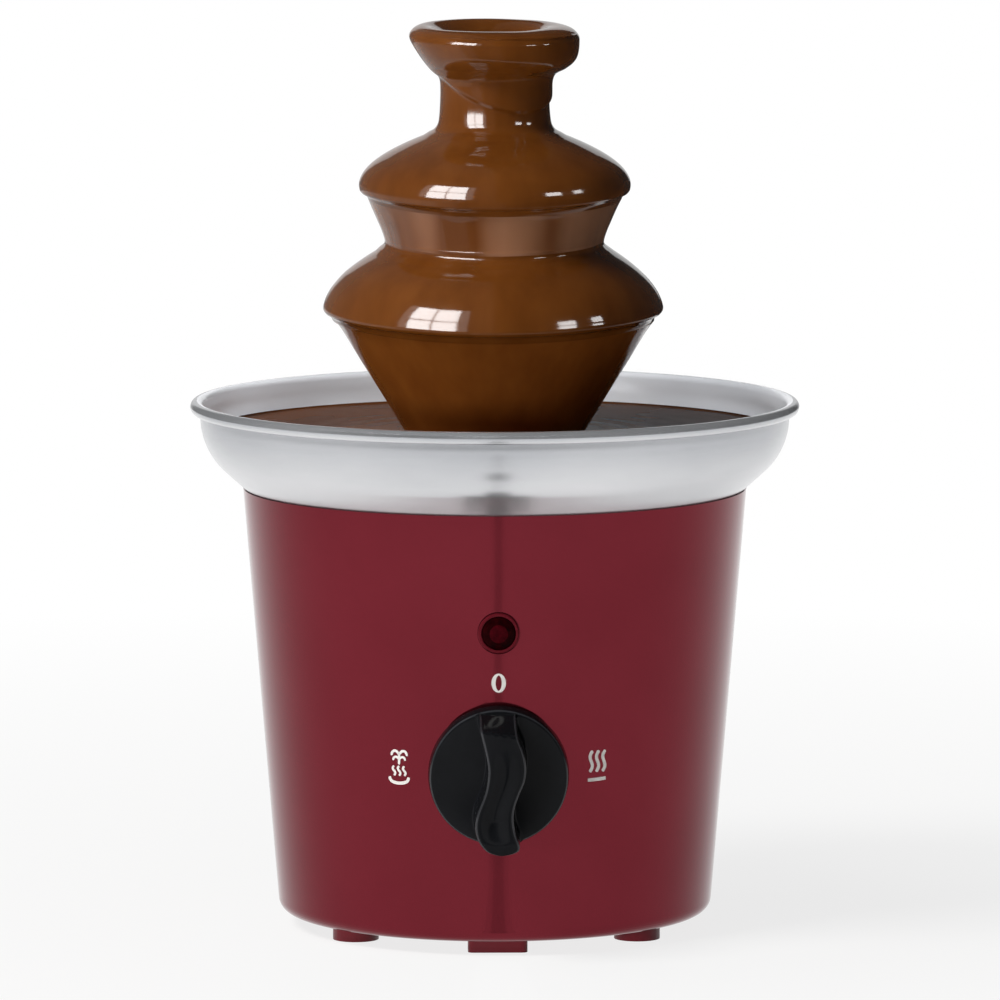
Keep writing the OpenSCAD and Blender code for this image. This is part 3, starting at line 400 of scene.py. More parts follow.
# painted reflection: the curtain's pale, pinkish streaks stand in for streaky reflections of the
# surroundings
CURTAIN_REFLECTION = chocolate_material("chocolate_curtain_painted_reflection", (0.115, 0.034, 0.006), (0.260, 0.118, 0.060), 0.10, 0.18,
                             streaks=(0.56, 0.56, 0.02), spots=[0.37, 0.62], detail=1.5)
# painted light: a lighter copy of the chocolate for the lower curtain
SHEET_PAINTED_LIGHT = chocolate_material("chocolate_sheet_painted_light", (0.163, 0.047, 0.007), (0.220, 0.068, 0.011), 0.12, 0.2)
LENS = lens_material("lens_red", (0.006, 0.0003, 0.0006), (0.016, 0.0006, 0.0012))
# painted light: brighter red for the lens's middle, standing in for glints of light inside the lens
LENS_GLOW = lens_material("lens_painted_glow", (0.024, 0.0007, 0.002), (0.05, 0.0015, 0.004))

BY_SLOT = {
    "red_plastic": RED, "bowl_steel": STEEL, "zinc_steel": ZINC, "rubber_black": RUBBER,
    "nylon_white": NYLON, "aluminium_plate": ALUMINIUM, "element_sheath": SHEATH,
    "thermostat_case": PHENOLIC, "silicone": SILICONE, "winding_tape": WINDING, "ferrite": FERRITE,
    "black_plastic": BLACK, "knob_black": KNOB, "tower_plastic": TOWER, "chocolate": CHOCOLATE,
    "lens_red": LENS,
}
for part in frame["record"]["subparts"]:
    node = frame["nodes"][part["node"]]
    node.data.materials.clear()
    node.data.materials.append(BY_SLOT[part["material_slot"]])
frame["nodes"]["base_plate"].data.materials[0] = RED_FEET
frame["nodes"]["auger"].data.materials[0] = TOWER


def dress(obj, mat):
    obj.data.materials.append(mat)


def paint(obj, mat, picked):
    """A further material for the faces whose index is picked."""
    obj.data.materials.append(mat)
    for poly in obj.data.polygons:
        if picked(poly.index):
            poly.material_index = len(obj.data.materials) - 1


# Chocolate over the tower

# crown: (radius at the left, height at the left, radius at the right, height at the right)
CROWN = [
    (12.05, 254.6, 12.05, 254.6), (12.2, 256.4, 12.1, 256.6), (13.1, 257.6, 12.4, 258.1),
    (14.9, 258.9, 12.9, 259.3), (17.2, 260.2, 14.0, 260.3), (19.6, 261, 16.2, 260.9),
    (21.7, 260.9, 19.4, 260.8), (23.5, 260.1, 22.4, 259.9), (24.6, 258.7, 24.2, 258.1),
    (24.5, 257.2, 24.4, 256.3), (23.5, 255.4, 24.3, 254), (22.2, 253.4, 23.8, 251.9),
    (20.7, 251.2, 22.6, 250.2), (19.2, 249.2, 20.7, 248.8), (17.6, 247.6, 18.3, 247.8),
    (16.3, 246.3, 16.5, 246.9), (15.8, 244.9, 15.8, 245), (15.7, 242.5, 15.7, 242.5),
    (15.75, 239.5, 15.75, 239.5), (15.85, 237.2, 15.85, 237.2), (15.98, 235.3, 15.98, 235.3),
    (16.22, 233.5, 16.22, 233.5), (16.75, 232.1, 16.75, 232.1), (17.7, 231.0, 17.7, 231.0),
    (19.2, 230.2, 19.2, 230.2),
]
CROWN_TURN = math.radians(-28)          # direction of the crown's right profile
NECK_LOW, NECK_HIGH = 235.4, 249        # between them a ridge of chocolate winds round the neck
RIDGE_Z, RIDGE_SWING, RIDGE_TURN = 245.2, 8.3, math.radians(58)
RIDGE_SHARP, RIDGE_BULGE = 5.0, 0.95
BORE_EDGE_R = 12.3                      # the crown stays even up to here
# lean of the crest to the front: from which radius on, how much, over which height, whole at which radius
LEAN_FROM_R, CREST_LEAN, LEAN_RISE, LEAN_FULL_R = 13.5, 0.9, 9, 24
NECK_FOOT_R = 20.6                      # the upper dome shows from here on
JOIN_R = 34.6                           # the lower dome shows from here on
LAND_R, DRIFT, DRIFT_REACH = 33.2, 3.0, 10
UPPER_DROP, UPPER_RUN = 2.2, 18         # how much lower the lip hangs in front, and over how many points
LOWER_DROP, LOWER_RUN = 2.6, 20
FLOW_SEGS = 216
# painted reflection: the pale streaks run on into these first rows of the landing
LANDING_ROWS = 4                        # rows of the landing that are streaky like the curtain above it

crown = through(CROWN, 5)
upper_dome = moved_out(bend(*UPPER, 40), FILM)
lower_dome = moved_out(bend(*LOWER, 48), FILM)
neck_end = next(i for i, p in enumerate(upper_dome) if p[0] > NECK_FOOT_R)
join = min(range(len(lower_dome)), key=lambda i: abs(lower_dome[i][0] - JOIN_R))

upper_lip = through([upper_dome[-1], (39.12, 214.3), (38.95, 213.6), (38.5, 213.05)], 4)[1:]
upper_under = through([(38.5, 213.05), (37.8, 212.75), (37.1, 212.2), (36.6, 211.2)], 4)[1:]
upper_curtain = through([(36.6, 211.2), (35.6, 209.2), (34.6, 207), (33.6, 204.7), (32.6, 202.4),
                         (31.85, 200.3)], 7)[1:]
landing = through([(31.85, 200.3), (31.6, 199.1), (31.8, 198.1), (LAND_R, 196.95)], 5)[1:]
lower_lip = through([lower_dome[-1], (48.85, 179.8), (48.75, 179), (48.25, 178.35)], 4)[1:]
lower_under = through([(48.25, 178.35), (47.5, 178), (46.8, 177.4), (46.2, 176.3)], 4)[1:]
FOOT = (FOOT_R, POOL_Z + FILM_GAP)
lower_curtain = through([(46.2, 176.3), (44.2, 173.4), (41.9, 169.6), (38.2, 163.5), (31.2, 152.3),
                         FOOT], 8)[1:]

runs = [[p[:2] for p in crown], upper_dome[neck_end:], upper_lip + upper_under, upper_curtain + landing,
        lower_dome[join:], lower_lip + lower_under, lower_curtain]
outer = [p for run in runs for p in run]
# index of the first point of each run after the crown
dome_up, lip_up, curtain_up, dome_low, lip_low, curtain_low = (
    sum(len(run) for run in runs[:k]) for k in range(1, len(runs)))

# back along the inside: curtain, tier, collar and neck
inner = ([(FOOT[0] - FILM, FOOT[1]), (44.3, 176.6), (45.6, 178.6)]
         + moved_out(bend(*LOWER, 14), 0.05)[::-1]
         + [(16.6, 206.2), (18.0, 204.7), (24.0, 201.7), (30.2, 198.3), (30.5, 199.6), (34.9, 210.6),
            (36.3, 213)]
         + moved_out(bend(*UPPER, 12), 0.05)[::-1]
         + [(16.05, 234.1), (14.85, 234.3), (14.85, 245.6)]
         + bend((14.85, 246), (22.25, 250), (23.85, 258.7), 8)
         + [(23.0, 259.2), (22.2, 258.8)]
         + bend((22.0, 258.6), (19.0, 253.6), (12.2, 251.4), 6))
total = outer + inner


def clamp(t):
    return min(1.0, max(0.0, t))


def eased(t):
    return clamp(t) ** 2


def facing(a):
    """How much a point at this angle faces the front."""
    return max(0.0, -math.sin(a)) ** 1.5


def uneven(a, scale, level):
    """Smooth noise round the axis."""
    return noise.noise((scale * math.cos(a), scale * math.sin(a), level))


def dome_z(r):
    return read_off(lower_dome, r)


def crown_point(i, a):
    """Crown that differs from left to right, leans to the front, and has the ridge round its neck."""
    r0, z0, r1, z1 = crown[i]
    w = 0.5 + 0.5 * math.cos(a - CROWN_TURN)
    r, z = r0 + (r1 - r0) * w, z0 + (z1 - z0) * w
    if r > BORE_EDGE_R:
        z += 0.22 * uneven(a, 1.3, 7.0) * clamp((r - BORE_EDGE_R) / 3)
    if r > LEAN_FROM_R:
        z += CREST_LEAN * math.sin(a) * clamp((z - NECK_HIGH) / LEAN_RISE) * r / LEAN_FULL_R
    if NECK_LOW < z < NECK_HIGH:
        ridge = RIDGE_Z - RIDGE_SWING * math.cos(a + RIDGE_TURN)
        over = 1 / (1 + math.exp((ridge - z) * RIDGE_SHARP))
        bulge = RIDGE_BULGE * over + 0.08 * uneven(a, 2.2, z * 0.12)
        r += bulge * clamp((z - NECK_LOW) / 2) * clamp((NECK_HIGH - z) / 2)
    return r, z


def upper_point(i, r, z, a):
    """Upper dome and its lip, which hangs lower in front."""
    n = i - dome_up
    z -= UPPER_DROP * facing(a) * eased((i - lip_up + UPPER_RUN) / UPPER_RUN)
    r += 0.10 * uneven(a, 2.6, 3.0) * clamp(n / 12)
    return r, z + 0.10 * uneven(a, 2.0, 9.0) * clamp(n / 30)


def upper_curtain_point(i, r, z, a):
    """Streaky curtain that lands further out in front."""
    n, front = i - curtain_up, facing(a)
    down = clamp(n / len(upper_curtain))
    z -= UPPER_DROP * front * eased(1 - n / len(upper_curtain))
    z += down * (dome_z(LAND_R + DRIFT * front) - dome_z(LAND_R))
    r += down * DRIFT * front
    r += clamp(n / 8) * (0.30 * uneven(a, 5.5, z * 0.02) + 0.12 * uneven(a, 13, z * 0.03))
    return r, z


def lower_point(i, r, z, a):
    """Lower dome and its lip, a little fuller at the left."""
    f, front = clamp((i - dome_low) / 12), facing(a)
    if r < LAND_R + DRIFT_REACH:
        out = r + DRIFT * front * clamp(1 - max(0.0, r - LAND_R) / DRIFT_REACH)
        r, z = out, z + dome_z(out) - dome_z(r)
    z -= LOWER_DROP * front * eased((i - lip_low + LOWER_RUN) / LOWER_RUN)
    return (r + f * (0.25 - 0.45 * math.cos(a) + 0.08 * uneven(a, 2.4, 5.0)),
            z + 0.12 * f * uneven(a, 1.8, 4.0))


def lower_curtain_point(i, r, z, a):
    """Curtain down to the pool, uneven between its two ends."""
    n = i - curtain_low
    f = clamp(n / 8) * clamp((len(outer) - 1 - i) / 6)
    z -= LOWER_DROP * facing(a) * eased(1 - n / len(lower_curtain))
    return r + f * (0.22 * uneven(a, 3.2, z * 0.02) + 0.05 * uneven(a, 12, z * 0.02)), z


def flow(i, r, z, a):
    """Point of the film: its outside flows unevenly, its inside stays as turned."""
    if i >= len(outer):
        return r, z
    if i < dome_up:
        return crown_point(i, a)
    shape = (upper_point if i < curtain_up else upper_curtain_point if i < dome_low
             else lower_point if i < curtain_low else lower_curtain_point)
    return shape(i, r, z, a)


def flow_row(face):
    return len(total) - 1 - face // FLOW_SEGS


flows = lathe("chocolate_tower", total[::-1], "tower", FLOW_SEGS, closed=True, sharp=55,
              shape=lambda i, r, z, a: flow(len(total) - 1 - i, r, z, a))
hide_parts("chocolate_lower_flow", "chocolate_upper_flow", "chocolate_crown_flow")
dress(flows, CHOCOLATE)
# painted reflection: pale streaks on the upper curtain and the top of its landing
streaky = range(curtain_up + 1, curtain_up + len(upper_curtain) + LANDING_ROWS)
paint(flows, CURTAIN_REFLECTION, lambda face: flow_row(face) in streaky)
# painted light: the lower curtain is painted lighter than the rest of the chocolate
paint(flows, SHEET_PAINTED_LIGHT, lambda face: curtain_low < flow_row(face) < len(outer))

# Chocolate that wells up over the auger's tip

WELL = [(0.0, 257.6), (2.5, 257.55), (5.5, 257.3), (8.4, 256.75), (10.4, 256.2), (11.4, 255.9),
        (11.85, 255.8), (11.9, 255.3), (11.6, 254.9), (8.0, 254.7), (0.0, 254.7)]
SWIRL_Z, SWIRL_R = 255.6, 11            # its top swirls above this height and inside this radius
SWIRL, SWIRL_SPAN = 0.35, 12            # how much, and over what radius


def swirl(i, r, z, a):
    if z > SWIRL_Z and r < SWIRL_R:
        z += SWIRL * (r / SWIRL_SPAN) * math.cos(a - 2 * r / SWIRL_SPAN)
    return r, z


well = lathe("chocolate_well", through(WELL, 4)[::-1], "auger", 120, shape=swirl)
dress(well, CHOCOLATE)

# Bowl with its rolled bead

curl = (WALL_R - GAUGE + BEAD_R, BEAD_Z)
bead_end = math.radians(-110)
bowl_path = (bowl_side(0, SHAFT_HOLE_R) + arc(*curl, BEAD_R - GAUGE, PI, bead_end, 20)
             + arc(*curl, BEAD_R, bead_end, PI, 28) + bowl_side(GAUGE, SHAFT_HOLE_R)[::-1])
bowl = lathe("bowl_turned", bowl_path, "base", 256, closed=True)
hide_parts("bowl")
dress(bowl, STEEL)

# Chocolate in the bowl

EDGE_RISE = 0.35                        # where it clings to the steel
POOL_RINGS = 44
pool_inset, pool_hub = GAUGE + FILM_GAP, POOL_HOLE_R + 0.05
pool_side = [p for p in bowl_side(pool_inset, pool_hub) if p[1] < POOL_Z - 1.2]
edge_r = SHOULDER[0] + math.sqrt((SHOULDER_R - GAUGE - FILM_GAP) ** 2
                                 - (POOL_Z + EDGE_RISE - SHOULDER[1]) ** 2)
flat_r = edge_r - 1.8
pool_top = [(edge_r, POOL_Z + EDGE_RISE), (edge_r - 0.7, POOL_Z + 0.05), (flat_r, POOL_Z - 0.05)]
pool_top += [(flat_r - (flat_r - FOOT_R - 2.6) * (i + 1) / POOL_RINGS, POOL_Z - 0.05)
             for i in range(POOL_RINGS)]
pool_top += [(FOOT_R + 1.4, POOL_Z + 0.05), (FOOT_R + 0.5, POOL_Z + 0.3), (FOOT_R + 0.15, POOL_Z + 0.55),
             (FOOT_R - 0.02, POOL_Z + 0.05), (FOOT_R - 0.6, POOL_Z), (pool_hub, POOL_Z)]


def ripple(i, r, z, a):
    """Rings that die away from the curtain's foot, over a faint swell."""
    if i < len(pool_side) + 2 or r < FOOT_R + 2.4:
        return r, z
    d = r - FOOT_R
    z += 0.10 * math.exp(-d / 14) * math.sin(d * 0.75 + 0.8 * uneven(a, 2, 1))
    return r, z + 0.06 * noise.noise((r * math.cos(a) * 0.05, r * math.sin(a) * 0.05, 2.0))


pool = lathe("chocolate_pool_surface", pool_side + pool_top, "base", 192, closed=True, shape=ripple)
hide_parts("chocolate_pool")
dress(pool, POOL)

# Knob

KNOB_R, LIFT, FACE = 20.0, 0.6, 5.6     # its radius, its gap to the wall and the height of its face
HUB_R, GRIP_H = 12.0, 13.0
DISC_SEGS = 128
# painted highlight: the rows below get the lighter edge copy of the knob's black
DISC_HIGHLIGHT_ROWS = range(9, 12)                # rows of faces round the disc's edge
GRIP_HIGHLIGHT_ROWS = {*range(6, 10), *range(26, 30)}    # rows of faces along the grip's two edges
GRIP_SECTIONS = 88
# edges of the grip's face as (up, across), from its lower end to its upper end
GRIP_LEFT = [(-19.8, 0.6), (-19.5, -1.6), (-18.3, -4.0), (-15.4, -6.1), (-12.0, -7.0), (-7.9, -6.55),
             (-1.55, -4.25), (4.25, -3.35), (9.45, -4.0), (16.4, -5.6), (18.6, -5.6)]
GRIP_RIGHT = [(-19.8, 1.2), (-19.3, 3.9), (-18.1, 5.8), (-16.0, 5.7), (-13.1, 4.75), (-9.65, 4.2),
              (-6.2, 4.4), (-2.1, 5.7), (1.9, 7.3), (5.7, 7.7), (10.0, 7.0), (14.7, 5.3), (18.6, 4.8)]
GRIP_LOW, GRIP_TOP = GRIP_LEFT[0][0], GRIP_LEFT[-1][0]
FALL_V, FALL_SLANT, TIP_H = 15.2, 0.17, 0.9     # where the grip falls off at the top, and its least height
END_V, END_RUN = -15.5, 4.3             # where it falls off at the lower end
DISH, DISH_STEPS, DISH_WIDTH = 1.3, 16, 0.78    # depth of its dished face, points and share across
# upper and lower end of the dish, each with the length over which it deepens
DISH_TOP, DISH_TOP_RUN, DISH_LOW, DISH_LOW_RUN = 11, 20, -16.5, 6.5
QUARTER = [PI / 2 * k / 4 for k in range(5)]

knob_wall = on_wall(KNOB_Z)
disc_path = ([(0.0, LIFT + 3.4), (HUB_R, LIFT + 3.4), (HUB_R, LIFT), (KNOB_R - 0.5, LIFT),
              (KNOB_R - 0.1, LIFT + 0.3), (KNOB_R - 0.02, LIFT + 0.8), (KNOB_R - 0.35, FACE - 1.2)]
             + arc(KNOB_R - 1.35, FACE - 1.05, 1.0, math.radians(8), math.radians(82), 7)
             + [(KNOB_R - 2.0, FACE), (KNOB_R - 5, FACE + 0.05), (10.0, FACE + 0.1), (0.0, FACE + 0.12)])
disc = lathe("knob_disc", disc_path, "knob", DISC_SEGS, place=knob_wall)
dress(disc, KNOB)
# painted highlight along the disc's edge
paint(disc, KNOB_EDGE_HIGHLIGHT, lambda face: face // DISC_SEGS in DISC_HIGHLIGHT_ROWS)


def grip_height(x, v):
    """Flat face that falls off steeply to the disc's edge at the top and a little at the lower end."""
    start = FALL_V - FALL_SLANT * x
    if v > start:
        t = min(1.0, (v - start) / (GRIP_TOP - start))
        return max(TIP_H, GRIP_H * (1 - t ** 1.3))
    return GRIP_H - (((END_V - v) / END_RUN) ** 2 if v < END_V else 0.0)


def grip_section(left, right, v):
    """Section across the grip: foot fillet, side, rounded edge, dished face, and the same down again."""
    width = right - left
    left_h, right_h = grip_height(left, v), grip_height(right, v)
    left_fillet = min(1.0, 0.1 + width * 0.2, left_h * 0.3)
    right_fillet = min(1.0, 0.1 + width * 0.2, right_h * 0.3)
    edge = min(0.6, width * 0.24, left_h * 0.3, right_h * 0.3)
    dish = DISH * min(max(0.0, (DISH_TOP - v) / DISH_TOP_RUN), max(0.0, (v - DISH_LOW) / DISH_LOW_RUN))
    x0, x1 = left + 0.2 + edge, right - 0.2 - edge
    section = [(left - left_fillet + left_fillet * math.sin(a),
                FACE + left_fillet - left_fillet * math.cos(a)) for a in QUARTER]
    section.append((left + 0.10, FACE + left_h * 0.6))
    section += [(x0 - edge * math.cos(a), FACE + left_h - edge + edge * math.sin(a)) for a in QUARTER]
    for k in range(1, DISH_STEPS):
        x = x0 + (x1 - x0) * k / DISH_STEPS
        u = abs(-1 + 2 * k / DISH_STEPS) / DISH_WIDTH
        section.append((x, FACE + grip_height(x, v) - dish * max(0.0, 1 - u * u) ** 2))
    section += [(x1 + edge * math.cos(a), FACE + right_h - edge + edge * math.sin(a)) for a in QUARTER[::-1]]
    section.append((right - 0.10, FACE + right_h * 0.6))
    section += [(right + right_fillet - right_fillet * math.sin(a),
                 FACE + right_fillet - right_fillet * math.cos(a)) for a in QUARTER[::-1]]
    return section + [(right + right_fillet, FACE - 0.55), (left - left_fillet, FACE - 0.55)]


def grip_mesh():
    """Sections from the grip's lower to its upper end, closer together towards the ends."""
    left_edge, right_edge = through(GRIP_LEFT, 8), through(GRIP_RIGHT, 8)
    verts, faces, rows = [], [], []
    for i in range(GRIP_SECTIONS + 1):
        v = GRIP_LOW + (GRIP_TOP - GRIP_LOW) * (0.5 - 0.5 * math.cos(PI * i / GRIP_SECTIONS))
        section = grip_section(read_off(left_edge, v), read_off(right_edge, v), v)
        rows.append(list(range(len(verts), len(verts) + len(section))))
        verts += [(x, v, z) for x, z in section]
    per_row = len(rows[0])
    for row, after in zip(rows[:-1], rows[1:]):
        faces += [(row[k], after[k], after[(k + 1) % per_row], row[(k + 1) % per_row])
                  for k in range(per_row)]
    faces.append(tuple(rows[0]))
    faces.append(tuple(rows[-1][::-1]))
    return verts, faces, per_row


grip_verts, grip_faces, grip_row = grip_mesh()
grip = mesh_object("knob_grip", [knob_wall(v) for v in grip_verts], grip_faces, "knob", 42)
dress(grip, KNOB)
# painted highlight along the grip's two edges
paint(grip, KNOB_EDGE_HIGHLIGHT, lambda face: face % grip_row in GRIP_HIGHLIGHT_ROWS)
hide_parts("control_knob")

# Pilot lens

LENS_SEGS = 64
# painted light: from the core row on, the lens's middle is painted brighter
BEZEL_ROWS, GLOW_ROW = range(2, 13), 17     # rows of faces of the bezel, first row of the bright core
lens_path = ([(0.0, -7.0), (4.95, -7.0), (4.95, -0.7), (5.8, -0.7), (5.8, 0.35)]
             + arc(5.35, 0.35, 0.45, 0, PI / 2, 5)
             + [(5.05, 0.8), (4.9, 0.7), (4.85, 0.45), (4.7, 0.5), (4.5, 0.75), (3.8, 1.15), (2.6, 1.45),
                (0.9, 1.62), (0.0, 1.65)])
lens = lathe("pilot_lens_cut", lens_path, "base", LENS_SEGS, place=on_wall(LAMP_Z), sharp=30)
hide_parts("pilot_lens")
dress(lens, LENS)
paint(lens, BEZEL, lambda face: face // LENS_SEGS in BEZEL_ROWS)
# painted light in the lens's middle
paint(lens, LENS_GLOW, lambda face: face // LENS_SEGS >= GLOW_ROW)

# Printed signs

PRINT_LIFT, ZERO_POINTS = 0.06, 56
SIGN_U, SIGN_V, ZERO_V = 29.0, 1.1, 26.2    # places of the signs from the knob's middle


def ribbon(points, widths):
    """Outline of a stroke as two rows of points, left and right of its path."""
    left, right = [], []
    for i, (p, w) in enumerate(zip(points, widths)):
        a, b = points[max(i - 1, 0)], points[min(i + 1, len(points) - 1)]
        dx, dy = b[0] - a[0], b[1] - a[1]
        n = math.hypot(dx, dy) or 1
        left.append((p[0] - dy / n * w / 2, p[1] + dx / n * w / 2))
        right.append((p[0] + dy / n * w / 2, p[1] - dx / n * w / 2))
    return left, right


def printed(name, strokes, u0, v0):
    """Thin printed shapes on the wall, each stroke a closed strip with a front, a back and edges."""
    verts, faces = [], []
    for left, right, loop in strokes:
        n = len(left)
        at = len(verts)
        for lift in (PRINT_LIFT, 0.0):
            for p in left + right:
                verts.append(wrapped(u0 + p[0], v0 + p[1], KNOB_Z, lift))
        back = 2 * n
        for i in range(n if loop else n - 1):
            j = (i + 1) % n
            faces.append((at + i, at + n + i, at + n + j, at + j))
            faces.append((at + back + i, at + back + j, at + back + n + j, at + back + n + i))
            faces.append((at + i, at + j, at + back + j, at + back + i))
            faces.append((at + n + i, at + back + n + i, at + back + n + j, at + n + j))
        if not loop:
            for i in (0, n - 1):
                q = (at + i, at + back + i, at + back + n + i, at + n + i)
                faces.append(q if i == 0 else q[::-1])
    dress(mesh_object(name, verts, faces, "base", 40), PRINT)


def stroke(points, width, tip=0.35):
    """A line with narrowed ends."""
    path = through(points, 6)
    n = len(path)
    widths = [width * min(1.0, tip + (1 - tip) * min(i, n - 1 - i) / 2.0) for i in range(n)]
    return (*ribbon(path, widths), False)


def oval(a, b, n):
    return [(a * math.cos(TAU * k / n), b * math.sin(TAU * k / n)) for k in range(n)]


def wave(x, y0, y1, swing, lean=0.0):
    """Points of one full wave upwards."""
    n = 9
    return [(x + lean * (k / (n - 1) - 0.5) + swing * math.sin(TAU * k / (n - 1)),
             y0 + (y1 - y0) * k / (n - 1)) for k in range(n)]


printed("sign_zero", [(oval(0.85, 2.2, ZERO_POINTS), oval(2.05, 2.75, ZERO_POINTS), True)], 0.0, ZERO_V)
printed("sign_heat", [stroke(wave(x, -1.6, 4.6, 0.55, 0.9), 0.95) for x in (-1.9, 0.1, 2.1)]
        + [stroke([(-2.9, -3.9), (0, -3.8), (2.7, -3.6)], 1.0, 0.9)], SIGN_U, SIGN_V)
printed("sign_flow_heat",
        [stroke([(0, 0.6), (0, 2.2), (0, 4.1)], 0.7)]
        + [stroke([(0, 3.6), (s * 0.9, 4.5), (s * 1.9, 4.4), (s * 2.5, 3.2)], 0.75) for s in (-1, 1)]
        + [stroke([(0, 2.2), (s * 0.8, 2.8), (s * 1.6, 2.6), (s * 1.9, 1.8)], 0.65) for s in (-1, 1)]
        + [stroke(wave(x, -2.6, 0.2, 0.4), 0.65) for x in (-1.6, 0, 1.6)]
        + [stroke([(-3.0, -3.0), (-2.3, -4.3), (0, -4.8), (2.3, -4.3), (3.0, -3.0)], 0.9, 0.7)],
        -SIGN_U, SIGN_V)


# Floor and background, in metres from here on

def white_to_view(tree):
    """1 for rays from the camera and through gloss or glass, which see the white background."""
    path = add(tree, "ShaderNodeLightPath")
    seen = add(tree, "ShaderNodeMath", operation="MAXIMUM")
    any_seen = add(tree, "ShaderNodeMath", operation="MAXIMUM")
    tree.links.new(path.outputs["Is Camera Ray"], seen.inputs[0])
    tree.links.new(path.outputs["Is Glossy Ray"], seen.inputs[1])
    tree.links.new(seen.outputs[0], any_seen.inputs[0])
    tree.links.new(path.outputs["Is Transmission Ray"], any_seen.inputs[1])
    return any_seen.outputs[0]


def mix_shaders(tree, fac, first, second):
    node = add(tree, "ShaderNodeMixShader")
    tree.links.new(fac, node.inputs[0])
    tree.links.new(first, node.inputs[1])
    tree.links.new(second, node.inputs[2])
    return node.outputs[0]


def background(tree, colour, strength):
    node = add(tree, "ShaderNodeBackground")
    node.inputs["Color"].default_value = (*colour, 1)
    node.inputs["Strength"].default_value = strength
    return node.outputs[0]


world = bpy.data.worlds.new("studio")
bpy.context.scene.world = world
world.use_nodes = True
world_tree = world.node_tree
world_tree.nodes.clear()
to_view = white_to_view(world_tree)
dim_room = background(world_tree, (0.96, 0.98, 1.0), 0.08)
white_room = background(world_tree, (1, 1, 1), 1.0)
world_tree.links.new(mix_shaders(world_tree, to_view, dim_room, white_room),
                     add(world_tree, "ShaderNodeOutputWorld").inputs[0])


def stage_mesh(name, verts, faces, mat):
    mesh = bpy.data.meshes.new(name)
    mesh.from_pydata(verts, [], faces)
    obj = bpy.data.objects.new(name, mesh)
    bpy.context.scene.collection.objects.link(obj)
    obj.data.materials.append(mat)
    return obj


def floor_material():
    """Pale floor that fades into the white background and keeps the object's shadow."""
    mat, tree, shader = new_material("pale_floor")
    shader.inputs["Base Color"].default_value = (0.86, 0.86, 0.86, 1)
    shader.inputs["Roughness"].default_value = 0.7
    shader.inputs["Specular IOR Level"].default_value = 0.1
    length = add(tree, "ShaderNodeVectorMath", operation="LENGTH")
    tree.links.new(coords(tree), length.inputs[0])
    fade = ranged(tree, length.outputs["Value"], 0.80, 1.0, 0.12, 0.7)
    both = add(tree, "ShaderNodeMath", operation="MULTIPLY")
    tree.links.new(fade, both.inputs[0])
    tree.links.new(white_to_view(tree), both.inputs[1])
    glow = add(tree, "ShaderNodeEmission")
    tree.links.new(mix_shaders(tree, both.outputs[0], shader.outputs[0], glow.outputs[0]),
                   tree.nodes["Material Output"].inputs["Surface"])
    return mat


FLOOR_R, FLOOR_SIDES = 4, 64
stage_mesh("floor", [(x, y, 0.0) for x, y in oval(FLOOR_R, FLOOR_R, FLOOR_SIDES)],
           [tuple(range(FLOOR_SIDES))], floor_material())


# Studio cards that only reflections see

def flag(name, verts, faces, value):
    """A card of one brightness, where 1 is the white of the background."""
    mat, _, shader = new_material(name)
    shader.inputs["Base Color"].default_value = (0, 0, 0, 1)
    shader.inputs["Specular IOR Level"].default_value = 0.0
    shader.inputs["Emission Color"].default_value = (value, value, value, 1)
    shader.inputs["Emission Strength"].default_value = 1.0
    obj = stage_mesh(name, verts, faces, mat)
    obj.visible_camera = obj.visible_diffuse = obj.visible_shadow = obj.visible_transmission = False
    obj.visible_volume_scatter = False
    return obj


def strip(name, rows, value, z=0.001):
    """A card on the floor, given as rows of (y, left x, right x)."""
    n = len(rows)
    flag(name, [(left, y, z) for y, left, right in rows] + [(right, y, z) for y, left, right in rows],
         [(i, i + 1, n + i + 1, n + i) for i in range(n - 1)], value)


STREAK = 0.62                           # brightness of the streak down the middle of the housing
strip("flag_halo", [(-0.068, -0.0060, 0.0068), (-0.16, -0.0088, 0.0116)], 0.82, 0.0006)
strip("flag_near", [(-0.068, -0.0030, 0.0034), (-0.16, -0.0042, 0.0066)], STREAK)
strip("flag_grip", [(-0.16, -0.010, 0.0125), (-0.215, -0.0105, 0.0135)], 0.05)
strip("flag_front", [(-0.215, -0.0042, 0.0080), (-0.24, -0.0044, 0.0090), (-0.45, -0.0085, 0.0187),
                     (-0.60, -0.0114, 0.0254)], STREAK)
strip("flag_far", [(-1.0, -2.0, 2.0), (-2.1, -2.0, 2.0)], STREAK)

TOWER_Z, ROOM_D, PANE_D = 0.19, 2.2, 1.9    # middle of the tower, distances of the cards from it
DECK_Z = 0.158                          # a little above the rim


def on_sphere(az, el, d):
    """Point at a distance from the tower, azimuth counted from the front towards the right."""
    a, e = math.radians(az), math.radians(el)
    return (d * math.sin(a) * math.cos(e), -d * math.cos(a) * math.cos(e), TOWER_Z + d * math.sin(e))


def room():
    """Dim upper part of the studio: brighter low at the back, darker at the right."""
    rows, cols = 14, 90
    levels = [-5 + 95 * (j / rows) ** 1.3 for j in range(rows)] + [90]
    cells = {"back": [], "left": [], "right": []}
    for j in range(rows):
        for k in range(cols):
            az, el = 360 * (k + 0.5) / cols, (levels[j] + levels[j + 1]) / 2
            side = "back" if el < 20 and 164 < az < 196 else "left" if az >= 190 else "right"
            cells[side] += [on_sphere(360 * col / cols, levels[row], ROOM_D)
                            for col, row in ((k, j), (k + 1, j), (k + 1, j + 1), (k, j + 1))]
    for side, value in (("back", 0.75), ("left", 0.16), ("right", 0.04)):
        verts = cells[side]
        flag("flag_room_" + side, verts, [(i, i + 1, i + 2, i + 3) for i in range(0, len(verts), 4)], value)


